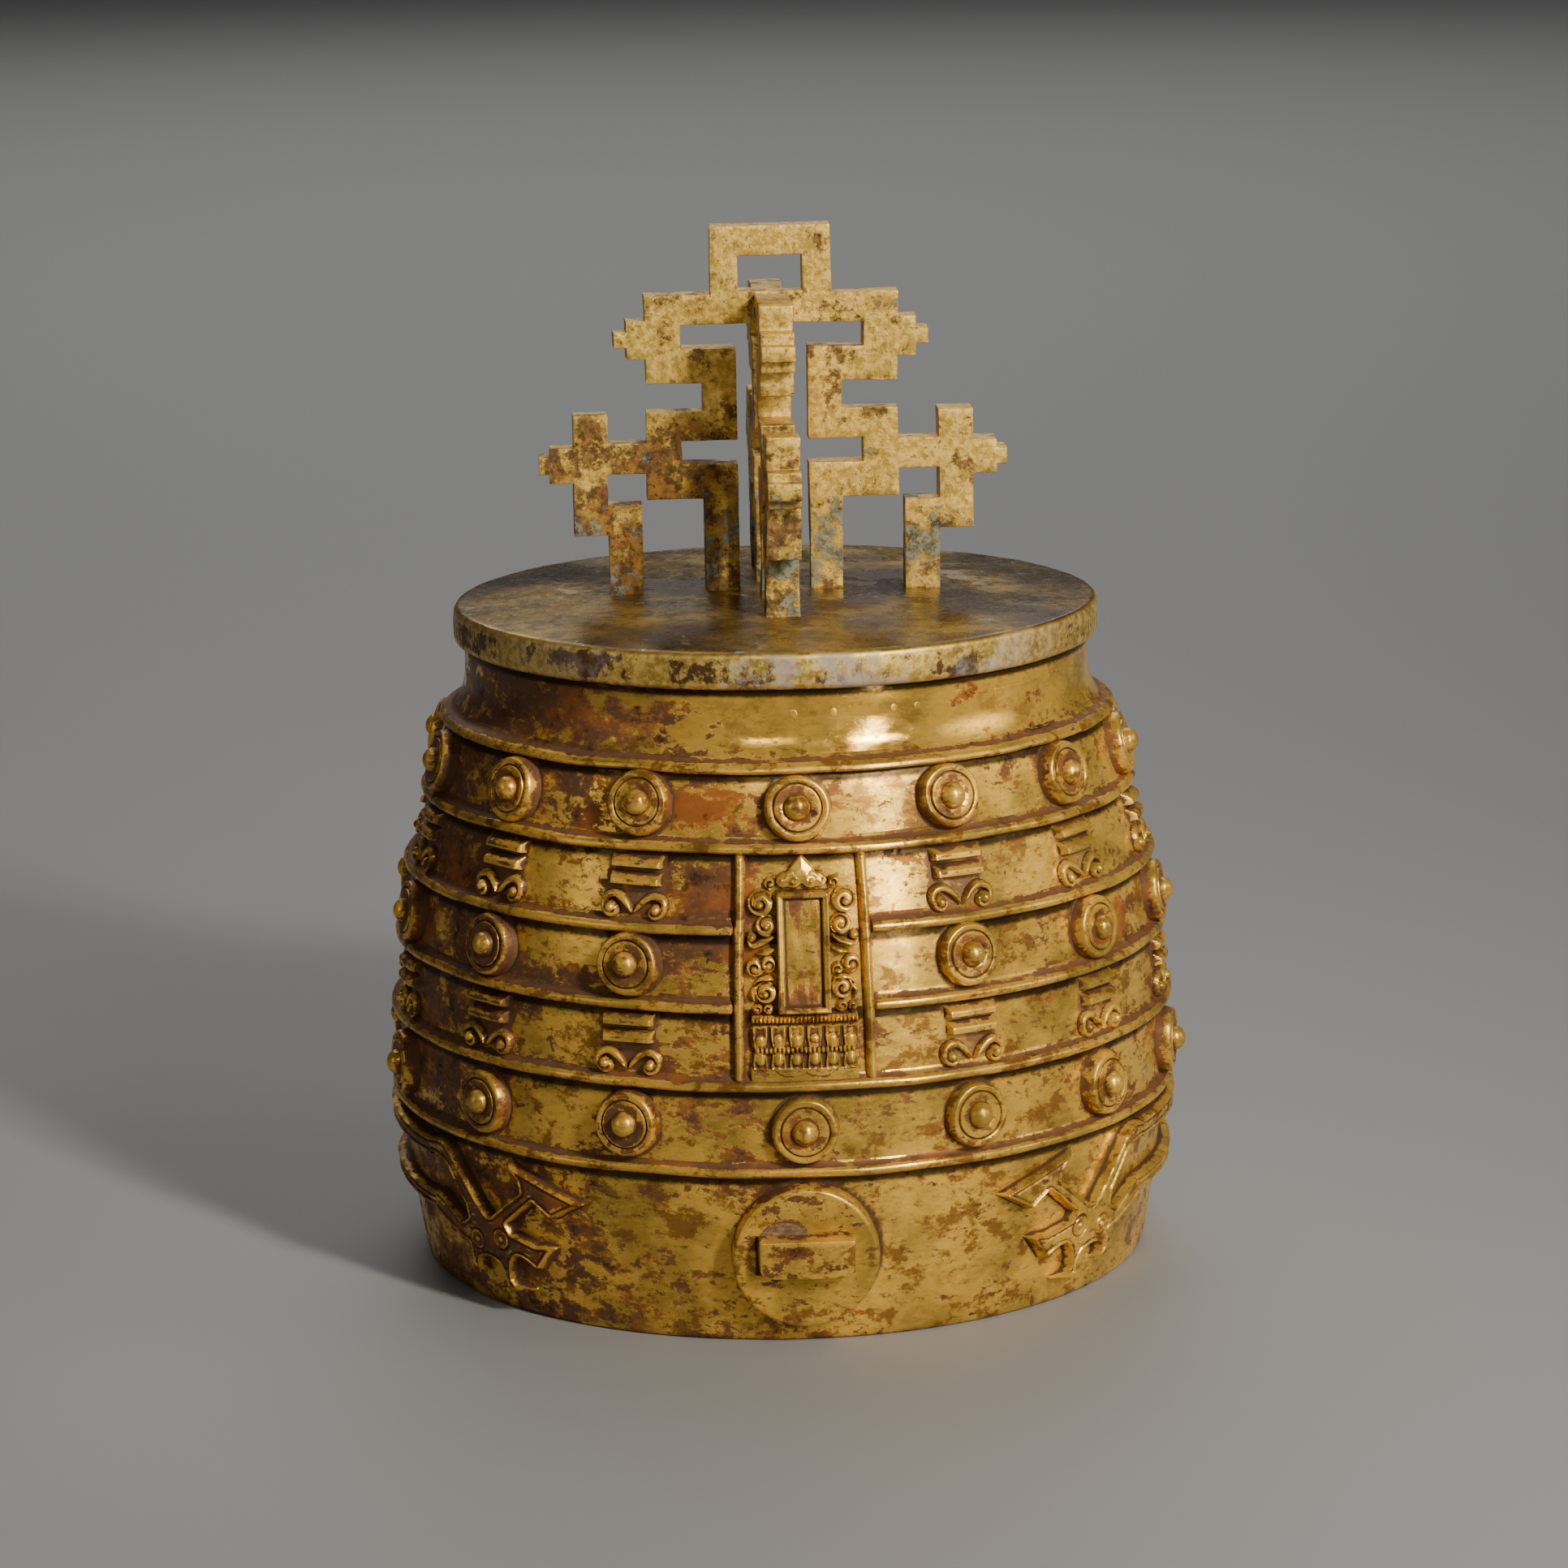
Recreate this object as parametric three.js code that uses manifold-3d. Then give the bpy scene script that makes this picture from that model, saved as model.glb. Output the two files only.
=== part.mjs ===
// Gilt-bronze chime bell: a barrel-shaped bell with no clapper, an overhanging crown
// plate and an openwork handle of two crossed plates. Millimetres, +Z up, mouth at
// z = 0, front face towards -Y. Angles go round the bell from the front, towards +X.
import * as THREE from "three";
import { mergeVertices } from "three/addons/utils/BufferGeometryUtils.js";
import Module from "manifold-3d";

const wasm = await Module();
wasm.setup();

// Gap between pieces that touch on the real bell
const FIT_GAP = 0.3;

// Barrel: outer wall radius from the mouth up to the neck, and the wall's thickness
const MOUTH_RADIUS = 101.6;
const SKIRT_LOW = { z: 10, r: 103.4 };
const SKIRT_MID = { z: 24, r: 105.4 };
const SKIRT_TOP = { z: 38, r: 106.6 };
const RIB_LEVELS = [153.2, 132.9, 112.3, 92.2, 71.5, 48.4];
const RIB_WALL_RADII = [90.9, 96.8, 102.2, 105.2, 106.9, 107.3];
const NECK_FLARE = { z: 158.5, r: 87.8 };
const NECK_RADIUS = 86.2;
const WALL = 6;

// Half-round beads that run round the barrel
const RIB_PROUD = 2.7;
const RIB_RADIUS = 1.6;

// Crown plate, and the locating ring under it that sits inside the neck
const CROWN_TOP = 183;
const CROWN_THICKNESS = 10.1;
const CROWN_RADIUS = 89;
const CROWN_EDGE = 1.8;
const RING_DEPTH = 15;
const RING_WALL = 6;

// Pins through the neck and the ring, at their angles on the front and the back
const PIN_RADIUS = 1.2;
const PIN_LEVEL = 166.3;
const PIN_PROUD = 0.1;
const PIN_ANGLES = [0, 7, 18, 22.5];
const FACES = { front: 0, back: 180 };

// Rectangular repair let into the neck
const PATCH = { angle: 43, z: 165.3, width: 12.4, height: 5.7, depth: 1.2 };

// Handle outline: distances out from the axis and heights above the mouth
const PLATE_THICKNESS = 9.2;
const PLATE_BEVEL = 0.7;
const STRIP_INNER = 9.7;
const STRIP_OUTER = 19;
const SLOT_END = 25;
const BRACKET_OUTER = 34.8;
const LEG_INNER = 36.3;
const LEG_OUTER = 45.6;
const TOWER_OUTER = 55;
const LOOP_INNER = 8.9;
const LOOP_OUTER = 16.5;
const LOOP_TOP = 286;
const LOOP_WINDOW_TOP = 278;
const LOOP_WINDOW_BOTTOM = 268.1;
const BEAM_TOP = 267.3;
const BEAM_BOTTOM = 259.3;
const UPPER_SLOT_BOTTOM = 252.6;
const UPPER_BRACKET_BOTTOM = 243;
const MIDDLE_BRACKET_TOP = 235.3;
const LOWER_SLOT_TOP = 227.3;
const LOWER_SLOT_BOTTOM = 220.8;
const MIDDLE_BRACKET_BOTTOM = 211.1;
const TOWER_TOP = 234.8;
const LINK_TOP = 226.8;
const LINK_BOTTOM = 218.5;
const LEG_SHOULDER = 209.8;
const TOWER_BOTTOM = 201.5;
const UPPER_KNOB = { z: 255.1, reach: 5.2, height: 10.6, nubReach: 3.4, nubHeight: 4.2 };
const LOWER_KNOB = { z: 221.3, reach: 6.6, height: 9.6, nubReach: 2.9, nubHeight: 4.6 };

// Tenons below the handle's feet: each passes the crown plate and a square collar
const TENON_SIDE = 6.4;
const COLLAR_SIDE = 12.5;
const COLLAR_THICKNESS = 3;
const HEAD_SIDE = 9;
const HEAD_THICKNESS = 2;

// Ornament in relief on the barrel, in columns to both sides of each face
const COLUMN_ANGLES = [25, 50, 76];
const BOSS_RADIUS = 8.4;
const BOSS_PROUD = 4;
const NAIL_RADIUS = 3.3;
const NAIL_PROUD = 6.6;
const BAR_WIDTH = 14.8;
const BAR_HEIGHT = 2.4;
const BAR_PROUD = 2.8;
const BAR_DROPS = [3.8, 8.1];
const CLOUD_HALF_WIDTH = 9.6;
const CLOUD_TOP_DROP = 12;
const CLOUD_BOTTOM_DROP = 18.6;
const CLOUD_PROUD = 2.8;
const POST_ANGLE = 9.25;
const POST_WIDTH = 2.7;

// Mark panel on each face: a plaque between the posts, and the bare tablet on it
const PLAQUE_HALF_WIDTH = 14.2;
const PLAQUE_BOTTOM = RIB_LEVELS[4] + RIB_RADIUS + FIT_GAP;
const PLAQUE_TIP = RIB_LEVELS[1] - RIB_RADIUS - FIT_GAP;
const PLAQUE_SHOULDER = 121.8;
const PEDIMENT_HALF_WIDTH = 6.8;
const PEDIMENT_BULGE = 0.8;
const PLAQUE_PROUD = 2;
const TABLET_HALF_WIDTH = 6.8;
const TABLET_BOTTOM = 90.7;
const TABLET_TOP = 122.3;
const TABLET_PROUD = 3.8;
const TABLET_FRAME = 1.6;
const TABLET_SINK = 1;

// Strike disc and its bar on each face
const DISC_LEVEL = 25.7;
const DISC_RADIUS = 19.6;
const DISC_PROUD = 4.6;
const DISC_EDGE = 0.8;
const STRIKE_BAR_LEVEL = 27.4;
const STRIKE_BAR_WIDTH = 25;
const STRIKE_BAR_HEIGHT = 10.2;
const STRIKE_BAR_THICKNESS = 4.4;

// Two-headed dragon round each side of the skirt
const DRAGON_PROUD = 3.6;
const DRAGON_TURN = -1.7;
const HEAD_ANGLE = 47.7;
const BAND_START = 24;
const NECK_BANDS = [
  { low: 23, high: 28.9 },
  { low: 38.2, high: 44.6 },
];

// Facets of the turned shapes
const BARREL_FACETS = 48;
const CROWN_FACETS = 72;
const DISC_FACETS = 40;
const BOSS_FACETS = 10;
const PIN_FACETS = 10;

const GILT = { color: 0xb8933e, roughness: 0.36, metalness: 1 };
const BROWN = { color: 0x7a4f22, roughness: 0.5, metalness: 1 };

const group = new THREE.Group();
const degrees = THREE.MathUtils.radToDeg;
const radians = THREE.MathUtils.degToRad;

// A closed three.js geometry as a solid for cutting and joining.
function solidOf(geometry) {
  const flat = geometry.index ? geometry.toNonIndexed() : geometry.clone();
  flat.deleteAttribute("normal");
  flat.deleteAttribute("uv");
  const merged = mergeVertices(flat, 1e-4);
  const mesh = new wasm.Mesh({
    numProp: 3,
    vertProperties: merged.attributes.position.array,
    triVerts: new Uint32Array(merged.index.array),
  });
  return new wasm.Manifold(mesh);
}

function addMesh(name, solid, look = GILT) {
  const mesh = solid.getMesh();
  const geometry = new THREE.BufferGeometry();
  geometry.setAttribute("position", new THREE.BufferAttribute(mesh.vertProperties, 3));
  geometry.setIndex(new THREE.BufferAttribute(mesh.triVerts, 1));
  geometry.computeVertexNormals();
  const made = new THREE.Mesh(geometry, new THREE.MeshStandardMaterial(look));
  made.name = name;
  group.add(made);
}

const joined = (solids) => wasm.Manifold.union(solids);

// Revolves a closed profile of [radius, height] points about the Z axis.
function turned(profile, facets) {
  const points = [...profile, profile[0]].map(([r, z]) => new THREE.Vector2(r, z));
  return solidOf(new THREE.LatheGeometry(points, facets).rotateX(Math.PI / 2));
}

function block(width, depth, height, x, y, z) {
  return solidOf(new THREE.BoxGeometry(width, depth, height).translate(x, y, z));
}

// Turns a solid made at the front to its angle round the bell.
function turnTo(solid, angle) {
  return solid.rotate([0, 0, angle]);
}

const underCrown = CROWN_TOP - CROWN_THICKNESS;

// The wall runs straight between these points.
const WALL_POINTS = [
  [MOUTH_RADIUS, 0],
  [SKIRT_LOW.r, SKIRT_LOW.z],
  [SKIRT_MID.r, SKIRT_MID.z],
  [SKIRT_TOP.r, SKIRT_TOP.z],
  ...RIB_LEVELS.map((z, i) => [RIB_WALL_RADII[i], z]).reverse(),
  [NECK_FLARE.r, NECK_FLARE.z],
  [NECK_RADIUS, underCrown - FIT_GAP],
];

function wallRadius(z) {
  const last = WALL_POINTS.length - 1;
  const found = WALL_POINTS.findIndex((point) => point[1] >= z);
  const above = Math.max(found < 0 ? last : found, 1);
  const [r1, z1] = WALL_POINTS[above];
  const [r0, z0] = WALL_POINTS[above - 1];
  return r0 + ((r1 - r0) * (z - z0)) / (z1 - z0);
}

// Angle round the bell that a distance along its wall covers.
function angleOf(distance, z) {
  return degrees(distance / wallRadius(z));
}

// The wall's outline over a span of heights, moved out by a distance.
function wallLine(offset, low, high) {
  const inside = WALL_POINTS.filter(([, z]) => z > low && z < high);
  const line = [[wallRadius(low), low], ...inside, [wallRadius(high), high]];
  return line.map(([r, z]) => [r + offset, z]);
}

// The layer between two distances out from the wall.
function wallLayer(from, to, low, high) {
  const outside = wallLine(to, low, high);
  const inside = wallLine(from, low, high).reverse();
  return turned([...outside, ...inside], BARREL_FACETS);
}

// A prism whose sides run along radii of the bell, from an outline of [angle, height]
// points. Its near end lies inside the narrowest wall, its far end outside the widest.
function radialPrism(outline) {
  const near = Math.min(...WALL_POINTS.map((point) => point[0])) - 2 * WALL;
  const far = Math.max(...WALL_POINTS.map((point) => point[0])) + 2 * WALL;
  const shape = new THREE.Shape(outline.map(([angle, z]) => new THREE.Vector2(angle, z)));
  const geometry = new THREE.ExtrudeGeometry(shape, { depth: 1, bevelEnabled: false });
  const place = geometry.attributes.position;
  for (let i = 0; i < place.count; i++) {
    const angle = radians(place.getX(i));
    const reach = place.getZ(i) > 0 ? far : near;
    place.setXYZ(i, reach * Math.sin(angle), -reach * Math.cos(angle), place.getY(i));
  }
  return solidOf(geometry);
}

// Relief on the wall between two distances out from it.
function relief(outline, from, to) {
  const levels = outline.map((point) => point[1]);
  const layer = wallLayer(from, to, Math.min(...levels) - WALL, Math.max(...levels) + WALL);
  return layer.intersect(radialPrism(outline));
}

// Outline of a rectangle on the wall.
function rectangle(angle, width, low, high) {
  const half = angleOf(width / 2, (low + high) / 2);
  return [
    [angle - half, low],
    [angle + half, low],
    [angle + half, high],
    [angle - half, high],
  ];
}

// Lays a disc, turned about Z with its back at z = 0, flat against the wall's slope at
// the front. Distances in its profile count from the wall's most proud point under it.
function againstWall(solid, level, radius) {
  const low = level - radius;
  const high = level + radius;
  const [rLow, rHigh] = [wallRadius(low), wallRadius(high)];
  const tilt = Math.atan2(rLow - rHigh, 2 * radius);
  const chord = (z) => rLow + ((rHigh - rLow) * (z - low)) / (high - low);
  const between = WALL_POINTS.filter(([, z]) => z > low && z < high);
  const swell = Math.max(0, ...between.map(([r, z]) => r - chord(z)));
  return solid
    .translate([0, 0, swell])
    .rotate([90, 0, 0])
    .rotate([-degrees(tilt), 0, 0])
    .translate([0, -chord(level), level]);
}

// Everything inside the wall's outer face, with the gap that a fitted piece keeps.
function insideWall() {
  const low = -CROWN_THICKNESS;
  const line = wallLine(FIT_GAP, low, underCrown);
  return turned([[0, low], ...line, [0, underCrown]], BARREL_FACETS);
}

function boss(z) {
  const profile = [
    [0, -WALL / 2],
    [BOSS_RADIUS, -WALL / 2],
    [BOSS_RADIUS, BOSS_PROUD],
    [NAIL_RADIUS, BOSS_PROUD],
    [0, NAIL_PROUD],
  ];
  return againstWall(turned(profile, BOSS_FACETS), z, BOSS_RADIUS);
}

// Angles of the columns to both sides of the front and back faces.
function columnAngles() {
  return COLUMN_ANGLES.flatMap((angle) => [angle, -angle, 180 - angle, angle - 180]);
}

// Boss rows lie between ribs 1 and 2, 3 and 4, and 5 and 6. The middle row leaves out
// the two face columns, where the mark panels are.
function bosses() {
  return [0, 2, 4].flatMap((upper) => {
    const z = (RIB_LEVELS[upper] + RIB_LEVELS[upper + 1]) / 2;
    const faceColumns = upper === 2 ? [] : Object.values(FACES);
    return [...faceColumns, ...columnAngles()].map((angle) => turnTo(boss(z), angle));
  });
}

// Outline of the pair of scrolls, from [share of half width, distance below the rib].
function cloudOutline(top) {
  const rise = CLOUD_BOTTOM_DROP - CLOUD_TOP_DROP;
  const right = [
    [0, 0.95],
    [0.42, 0.7],
    [0.75, 1],
    [1, 0.5],
    [0.68, 0],
    [0, 0.4],
  ];
  const left = right
    .slice(1, -1)
    .reverse()
    .map(([x, share]) => [-x, share]);
  return [...right, ...left].map(([x, share]) => [
    angleOf(x * CLOUD_HALF_WIDTH, top),
    top - CLOUD_TOP_DROP - share * rise,
  ]);
}

// Two bars over a pair of scrolls, below one rib.
function cloudSign(top) {
  const bars = BAR_DROPS.map((drop) => {
    const outline = rectangle(0, BAR_WIDTH, top - drop - BAR_HEIGHT, top - drop);
    return relief(outline, -WALL / 2, BAR_PROUD);
  });
  return joined([...bars, relief(cloudOutline(top), -WALL / 2, CLOUD_PROUD)]);
}

function cloudSigns() {
  return [RIB_LEVELS[1], RIB_LEVELS[3]].flatMap((top) => {
    const sign = cloudSign(top);
    return columnAngles().map((angle) => turnTo(sign, angle));
  });
}

// Upright beads that bound the panels on both faces.
function posts() {
  return Object.values(FACES).flatMap((face) =>
    [POST_ANGLE, -POST_ANGLE].map((angle) => {
      const outline = rectangle(angle, POST_WIDTH, RIB_LEVELS[4], RIB_LEVELS[1]);
      return turnTo(relief(outline, -WALL / 2, RIB_PROUD), face);
    }),
  );
}

// Half-round points of the bead at one rib.
function beadPoints(z) {
  const r = wallRadius(z) + RIB_PROUD - RIB_RADIUS;
  return [-90, -30, 30, 90].map((turn) => [
    r + RIB_RADIUS * Math.cos(radians(turn)),
    z + RIB_RADIUS * Math.sin(radians(turn)),
  ]);
}

// Rib that stops at the posts of both faces.
function brokenRib(z) {
  const foot = wallRadius(z) - WALL / 2;
  const ring = turned(
    [[foot, z - RIB_RADIUS], ...beadPoints(z), [foot, z + RIB_RADIUS]],
    BARREL_FACETS,
  );
  const gap = radialPrism([
    [-POST_ANGLE, z - WALL],
    [POST_ANGLE, z - WALL],
    [POST_ANGLE, z + WALL],
    [-POST_ANGLE, z + WALL],
  ]);
  return ring.subtract(gap).subtract(turnTo(gap, FACES.back));
}

// The turned shell with the four ribs that go all the way round.
function barrelShell() {
  const wholeRibs = [0, 1, 4, 5].map((i) => RIB_LEVELS[i]);
  const outer = WALL_POINTS.flatMap(([r, z]) => {
    if (!wholeRibs.includes(z)) {
      return [[r, z]];
    }
    const foot = wallRadius(z) - RIB_RADIUS / 2;
    return [[foot, z - RIB_RADIUS], ...beadPoints(z), [foot, z + RIB_RADIUS]];
  });
  const inner = WALL_POINTS.map(([r, z]) => [r - WALL, z]).reverse();
  return turned([...outer, ...inner], BARREL_FACETS);
}

// The locating ring clears the neck where the neck is narrowest over its depth.
function ringRadius() {
  const neck = wallLine(-WALL, underCrown - RING_DEPTH, underCrown - FIT_GAP);
  return Math.min(...neck.map((point) => point[0])) - FIT_GAP;
}

// A round bar through the neck, from the middle of the ring to just past the wall. It is
// grown all over by a distance, for the pin's hole.
function pinRod(angle, grow) {
  const start = ringRadius() - RING_WALL / 2 - grow;
  const end = wallRadius(PIN_LEVEL) + PIN_PROUD + grow;
  const radius = PIN_RADIUS + grow;
  const rod = new THREE.CylinderGeometry(radius, radius, end - start, PIN_FACETS);
  rod.translate(0, -(start + end) / 2, PIN_LEVEL);
  return turnTo(solidOf(rod), angle);
}

const pinAngles = Object.values(FACES).flatMap((face) => PIN_ANGLES.map((a) => a + face));

function withPinHoles(solid) {
  return solid.subtract(joined(pinAngles.map((angle) => pinRod(angle, FIT_GAP))));
}

function addPins() {
  pinAngles.forEach((angle, i) => addMesh(`neck_pin_${i + 1}`, pinRod(angle, 0), BROWN));
}

function patchSolid(grow) {
  const { angle, z, width, height, depth } = PATCH;
  const half = height / 2 + grow;
  return relief(rectangle(angle, width + 2 * grow, z - half, z + half), -depth - grow, RIB_PROUD);
}

function addBarrel() {
  const barrel = joined([
    barrelShell(),
    ...bosses(),
    ...cloudSigns(),
    ...posts(),
    brokenRib(RIB_LEVELS[2]),
    brokenRib(RIB_LEVELS[3]),
  ]);
  addMesh("bell_barrel", withPinHoles(barrel).subtract(patchSolid(FIT_GAP)));
  const low = PATCH.z - PATCH.height;
  const high = PATCH.z + PATCH.height;
  const flush = wallLayer(-WALL, PIN_PROUD, low, high);
  addMesh("neck_patch", patchSolid(0).intersect(flush));
}

// Distances of the handle's feet from the axis, along each plate.
function footCentres() {
  const outer = (LEG_INNER + LEG_OUTER) / 2;
  const inner = (STRIP_INNER + STRIP_OUTER) / 2;
  return [-outer, -inner, inner, outer];
}

function addCrown() {
  const ringOuter = ringRadius();
  const ringInner = ringOuter - RING_WALL;
  const edge = [0, 30, 60, 90].map((turn) => [
    CROWN_RADIUS - CROWN_EDGE * (1 - Math.cos(radians(turn))),
    CROWN_TOP - CROWN_EDGE * (1 - Math.sin(radians(turn))),
  ]);
  const plate = turned(
    [
      [0, underCrown],
      [ringInner, underCrown],
      [ringInner, underCrown - RING_DEPTH],
      [ringOuter, underCrown - RING_DEPTH],
      [ringOuter, underCrown],
      [CROWN_RADIUS - CROWN_EDGE / 2, underCrown],
      [CROWN_RADIUS, underCrown + CROWN_EDGE / 2],
      ...edge,
      [0, CROWN_TOP],
    ],
    CROWN_FACETS,
  );
  const side = TENON_SIDE + 2 * FIT_GAP;
  const mortises = footCentres().map((x) => block(side, side, 3 * CROWN_THICKNESS, x, 0, CROWN_TOP));
  const cuts = joined([...mortises, ...mortises.map((cut) => turnTo(cut, 90))]);
  addMesh("crown_plate", withPinHoles(plate).subtract(cuts));
}

// A bar of the handle with chamfered edges, from its left, right, low and high sides.
function bar(left, right, low, high) {
  const shape = new THREE.Shape([
    new THREE.Vector2(left, low),
    new THREE.Vector2(right, low),
    new THREE.Vector2(right, high),
    new THREE.Vector2(left, high),
  ]);
  const geometry = new THREE.ExtrudeGeometry(shape, {
    depth: PLATE_THICKNESS - 2 * PLATE_BEVEL,
    bevelThickness: PLATE_BEVEL,
    bevelSize: PLATE_BEVEL,
    bevelOffset: -PLATE_BEVEL,
    bevelSegments: 1,
  });
  geometry.translate(0, 0, PLATE_BEVEL - PLATE_THICKNESS / 2).rotateX(Math.PI / 2);
  return solidOf(geometry);
}

// The stepped knob that stands out sideways from a bracket or tower.
function knob(outer, { z, reach, height, nubReach, nubHeight }) {
  const end = outer + reach;
  return [
    bar(outer - reach, end, z - height / 2, z + height / 2),
    bar(outer, end + nubReach, z - nubHeight / 2, z + nubHeight / 2),
  ];
}

// One half of a handle plate from its feet to the beam.
function handleHalf() {
  const foot = CROWN_TOP + FIT_GAP;
  return joined([
    bar(STRIP_INNER, STRIP_OUTER, foot, LOWER_SLOT_BOTTOM),
    bar(STRIP_INNER, BRACKET_OUTER, MIDDLE_BRACKET_BOTTOM, LOWER_SLOT_BOTTOM),
    bar(SLOT_END, BRACKET_OUTER, MIDDLE_BRACKET_BOTTOM, MIDDLE_BRACKET_TOP),
    bar(STRIP_INNER, BRACKET_OUTER, LOWER_SLOT_TOP, MIDDLE_BRACKET_TOP),
    bar(STRIP_INNER, STRIP_OUTER, LOWER_SLOT_TOP, UPPER_SLOT_BOTTOM),
    bar(STRIP_INNER, BRACKET_OUTER, UPPER_BRACKET_BOTTOM, UPPER_SLOT_BOTTOM),
    bar(SLOT_END, BRACKET_OUTER, UPPER_BRACKET_BOTTOM, BEAM_TOP),
    ...knob(BRACKET_OUTER, UPPER_KNOB),
    bar(SLOT_END, TOWER_OUTER, LINK_BOTTOM, LINK_TOP),
    bar(LEG_OUTER, TOWER_OUTER, TOWER_BOTTOM, TOWER_TOP),
    ...knob(TOWER_OUTER, LOWER_KNOB),
    bar(LEG_INNER, TOWER_OUTER, TOWER_BOTTOM, LEG_SHOULDER),
    bar(LEG_INNER, LEG_OUTER, foot, LEG_SHOULDER),
  ]);
}

// The hanging loop stands on the beam.
function loopBars() {
  return [
    bar(-LOOP_OUTER, -LOOP_INNER, BEAM_BOTTOM, LOOP_TOP),
    bar(LOOP_INNER, LOOP_OUTER, BEAM_BOTTOM, LOOP_TOP),
    bar(-LOOP_OUTER, LOOP_OUTER, LOOP_WINDOW_TOP, LOOP_TOP),
    bar(-LOOP_OUTER, LOOP_OUTER, BEAM_BOTTOM, LOOP_WINDOW_BOTTOM),
  ];
}

// Square tenons with their hammered heads, below the feet of one plate.
function tenons() {
  const top = CROWN_TOP + FIT_GAP + PLATE_BEVEL;
  const headTop = underCrown - COLLAR_THICKNESS - 2 * FIT_GAP;
  const head = headTop - HEAD_THICKNESS / 2;
  return footCentres().flatMap((x) => [
    block(TENON_SIDE, TENON_SIDE, top - head, x, 0, (top + head) / 2),
    block(HEAD_SIDE, HEAD_SIDE, HEAD_THICKNESS, x, 0, head),
  ]);
}

// The whole plate standing in the XZ plane, with or without the hanging loop.
function handlePlate(extras) {
  const half = handleHalf();
  const beam = bar(-BRACKET_OUTER, BRACKET_OUTER, BEAM_BOTTOM, BEAM_TOP);
  return joined([half, half.mirror([1, 0, 0]), beam, ...tenons(), ...extras]);
}

// The two plates are halved together where their beams cross.
function addHandle() {
  const side = PLATE_THICKNESS + 2 * FIT_GAP;
  const reach = LOOP_TOP - BEAM_BOTTOM;
  const middle = (BEAM_TOP + BEAM_BOTTOM) / 2;
  const below = block(side, side, reach, 0, 0, middle + (FIT_GAP - reach) / 2);
  const above = block(side, side, reach, 0, 0, middle + (reach - FIT_GAP) / 2);
  addMesh("handle_long_plate", handlePlate(loopBars()).subtract(below));
  addMesh("handle_cross_plate", turnTo(handlePlate([]), 90).subtract(above));
}

function addCollars(plate, angle) {
  const hole = TENON_SIDE + 2 * FIT_GAP;
  const z = underCrown - FIT_GAP - COLLAR_THICKNESS / 2;
  footCentres().forEach((x, i) => {
    const square = block(COLLAR_SIDE, COLLAR_SIDE, COLLAR_THICKNESS, x, 0, z);
    const bore = block(hole, hole, 3 * COLLAR_THICKNESS, x, 0, z);
    addMesh(`${plate}_collar_${i + 1}`, turnTo(square.subtract(bore), angle), BROWN);
  });
}

// Outline of the panel: straight sides, square shoulders and a pointed top.
function plaqueOutline() {
  const side = angleOf(PLAQUE_HALF_WIDTH, PLAQUE_BOTTOM);
  const foot = angleOf(PEDIMENT_HALF_WIDTH, PLAQUE_SHOULDER);
  const bulge = PEDIMENT_BULGE * foot;
  const middle = (PLAQUE_SHOULDER + PLAQUE_TIP) / 2;
  return [
    [-side, PLAQUE_BOTTOM],
    [side, PLAQUE_BOTTOM],
    [side, PLAQUE_SHOULDER],
    [foot, PLAQUE_SHOULDER],
    [bulge, middle],
    [0, PLAQUE_TIP],
    [-bulge, middle],
    [-foot, PLAQUE_SHOULDER],
    [-side, PLAQUE_SHOULDER],
  ];
}

function addPanel(face, angle) {
  const plaque = relief(plaqueOutline(), FIT_GAP, PLAQUE_PROUD);
  const outline = rectangle(0, 2 * TABLET_HALF_WIDTH, TABLET_BOTTOM, TABLET_TOP);
  const sunk = rectangle(
    0,
    2 * (TABLET_HALF_WIDTH - TABLET_FRAME),
    TABLET_BOTTOM + TABLET_FRAME,
    TABLET_TOP - TABLET_FRAME,
  );
  const field = relief(sunk, TABLET_PROUD - TABLET_SINK, TABLET_PROUD + WALL);
  const tablet = relief(outline, PLAQUE_PROUD + FIT_GAP, TABLET_PROUD).subtract(field);
  addMesh(`mark_plaque_${face}`, turnTo(plaque, angle));
  addMesh(`mark_tablet_${face}`, turnTo(tablet, angle));
}

function addStrikePoint(face, angle) {
  const profile = [
    [0, -WALL],
    [DISC_RADIUS, -WALL],
    [DISC_RADIUS, DISC_PROUD - DISC_EDGE],
    [DISC_RADIUS - DISC_EDGE, DISC_PROUD],
    [0, DISC_PROUD],
  ];
  const disc = againstWall(turned(profile, DISC_FACETS), DISC_LEVEL, DISC_RADIUS);
  const barFoot = DISC_PROUD + FIT_GAP;
  const barSolid = block(
    STRIKE_BAR_WIDTH,
    STRIKE_BAR_HEIGHT,
    STRIKE_BAR_THICKNESS,
    0,
    STRIKE_BAR_LEVEL - DISC_LEVEL,
    barFoot + STRIKE_BAR_THICKNESS / 2,
  );
  const strikeBar = againstWall(barSolid, DISC_LEVEL, DISC_RADIUS);
  addMesh(`strike_disc_${face}`, turnTo(disc.subtract(insideWall()), angle));
  addMesh(`strike_bar_${face}`, turnTo(strikeBar, angle));
}

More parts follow.
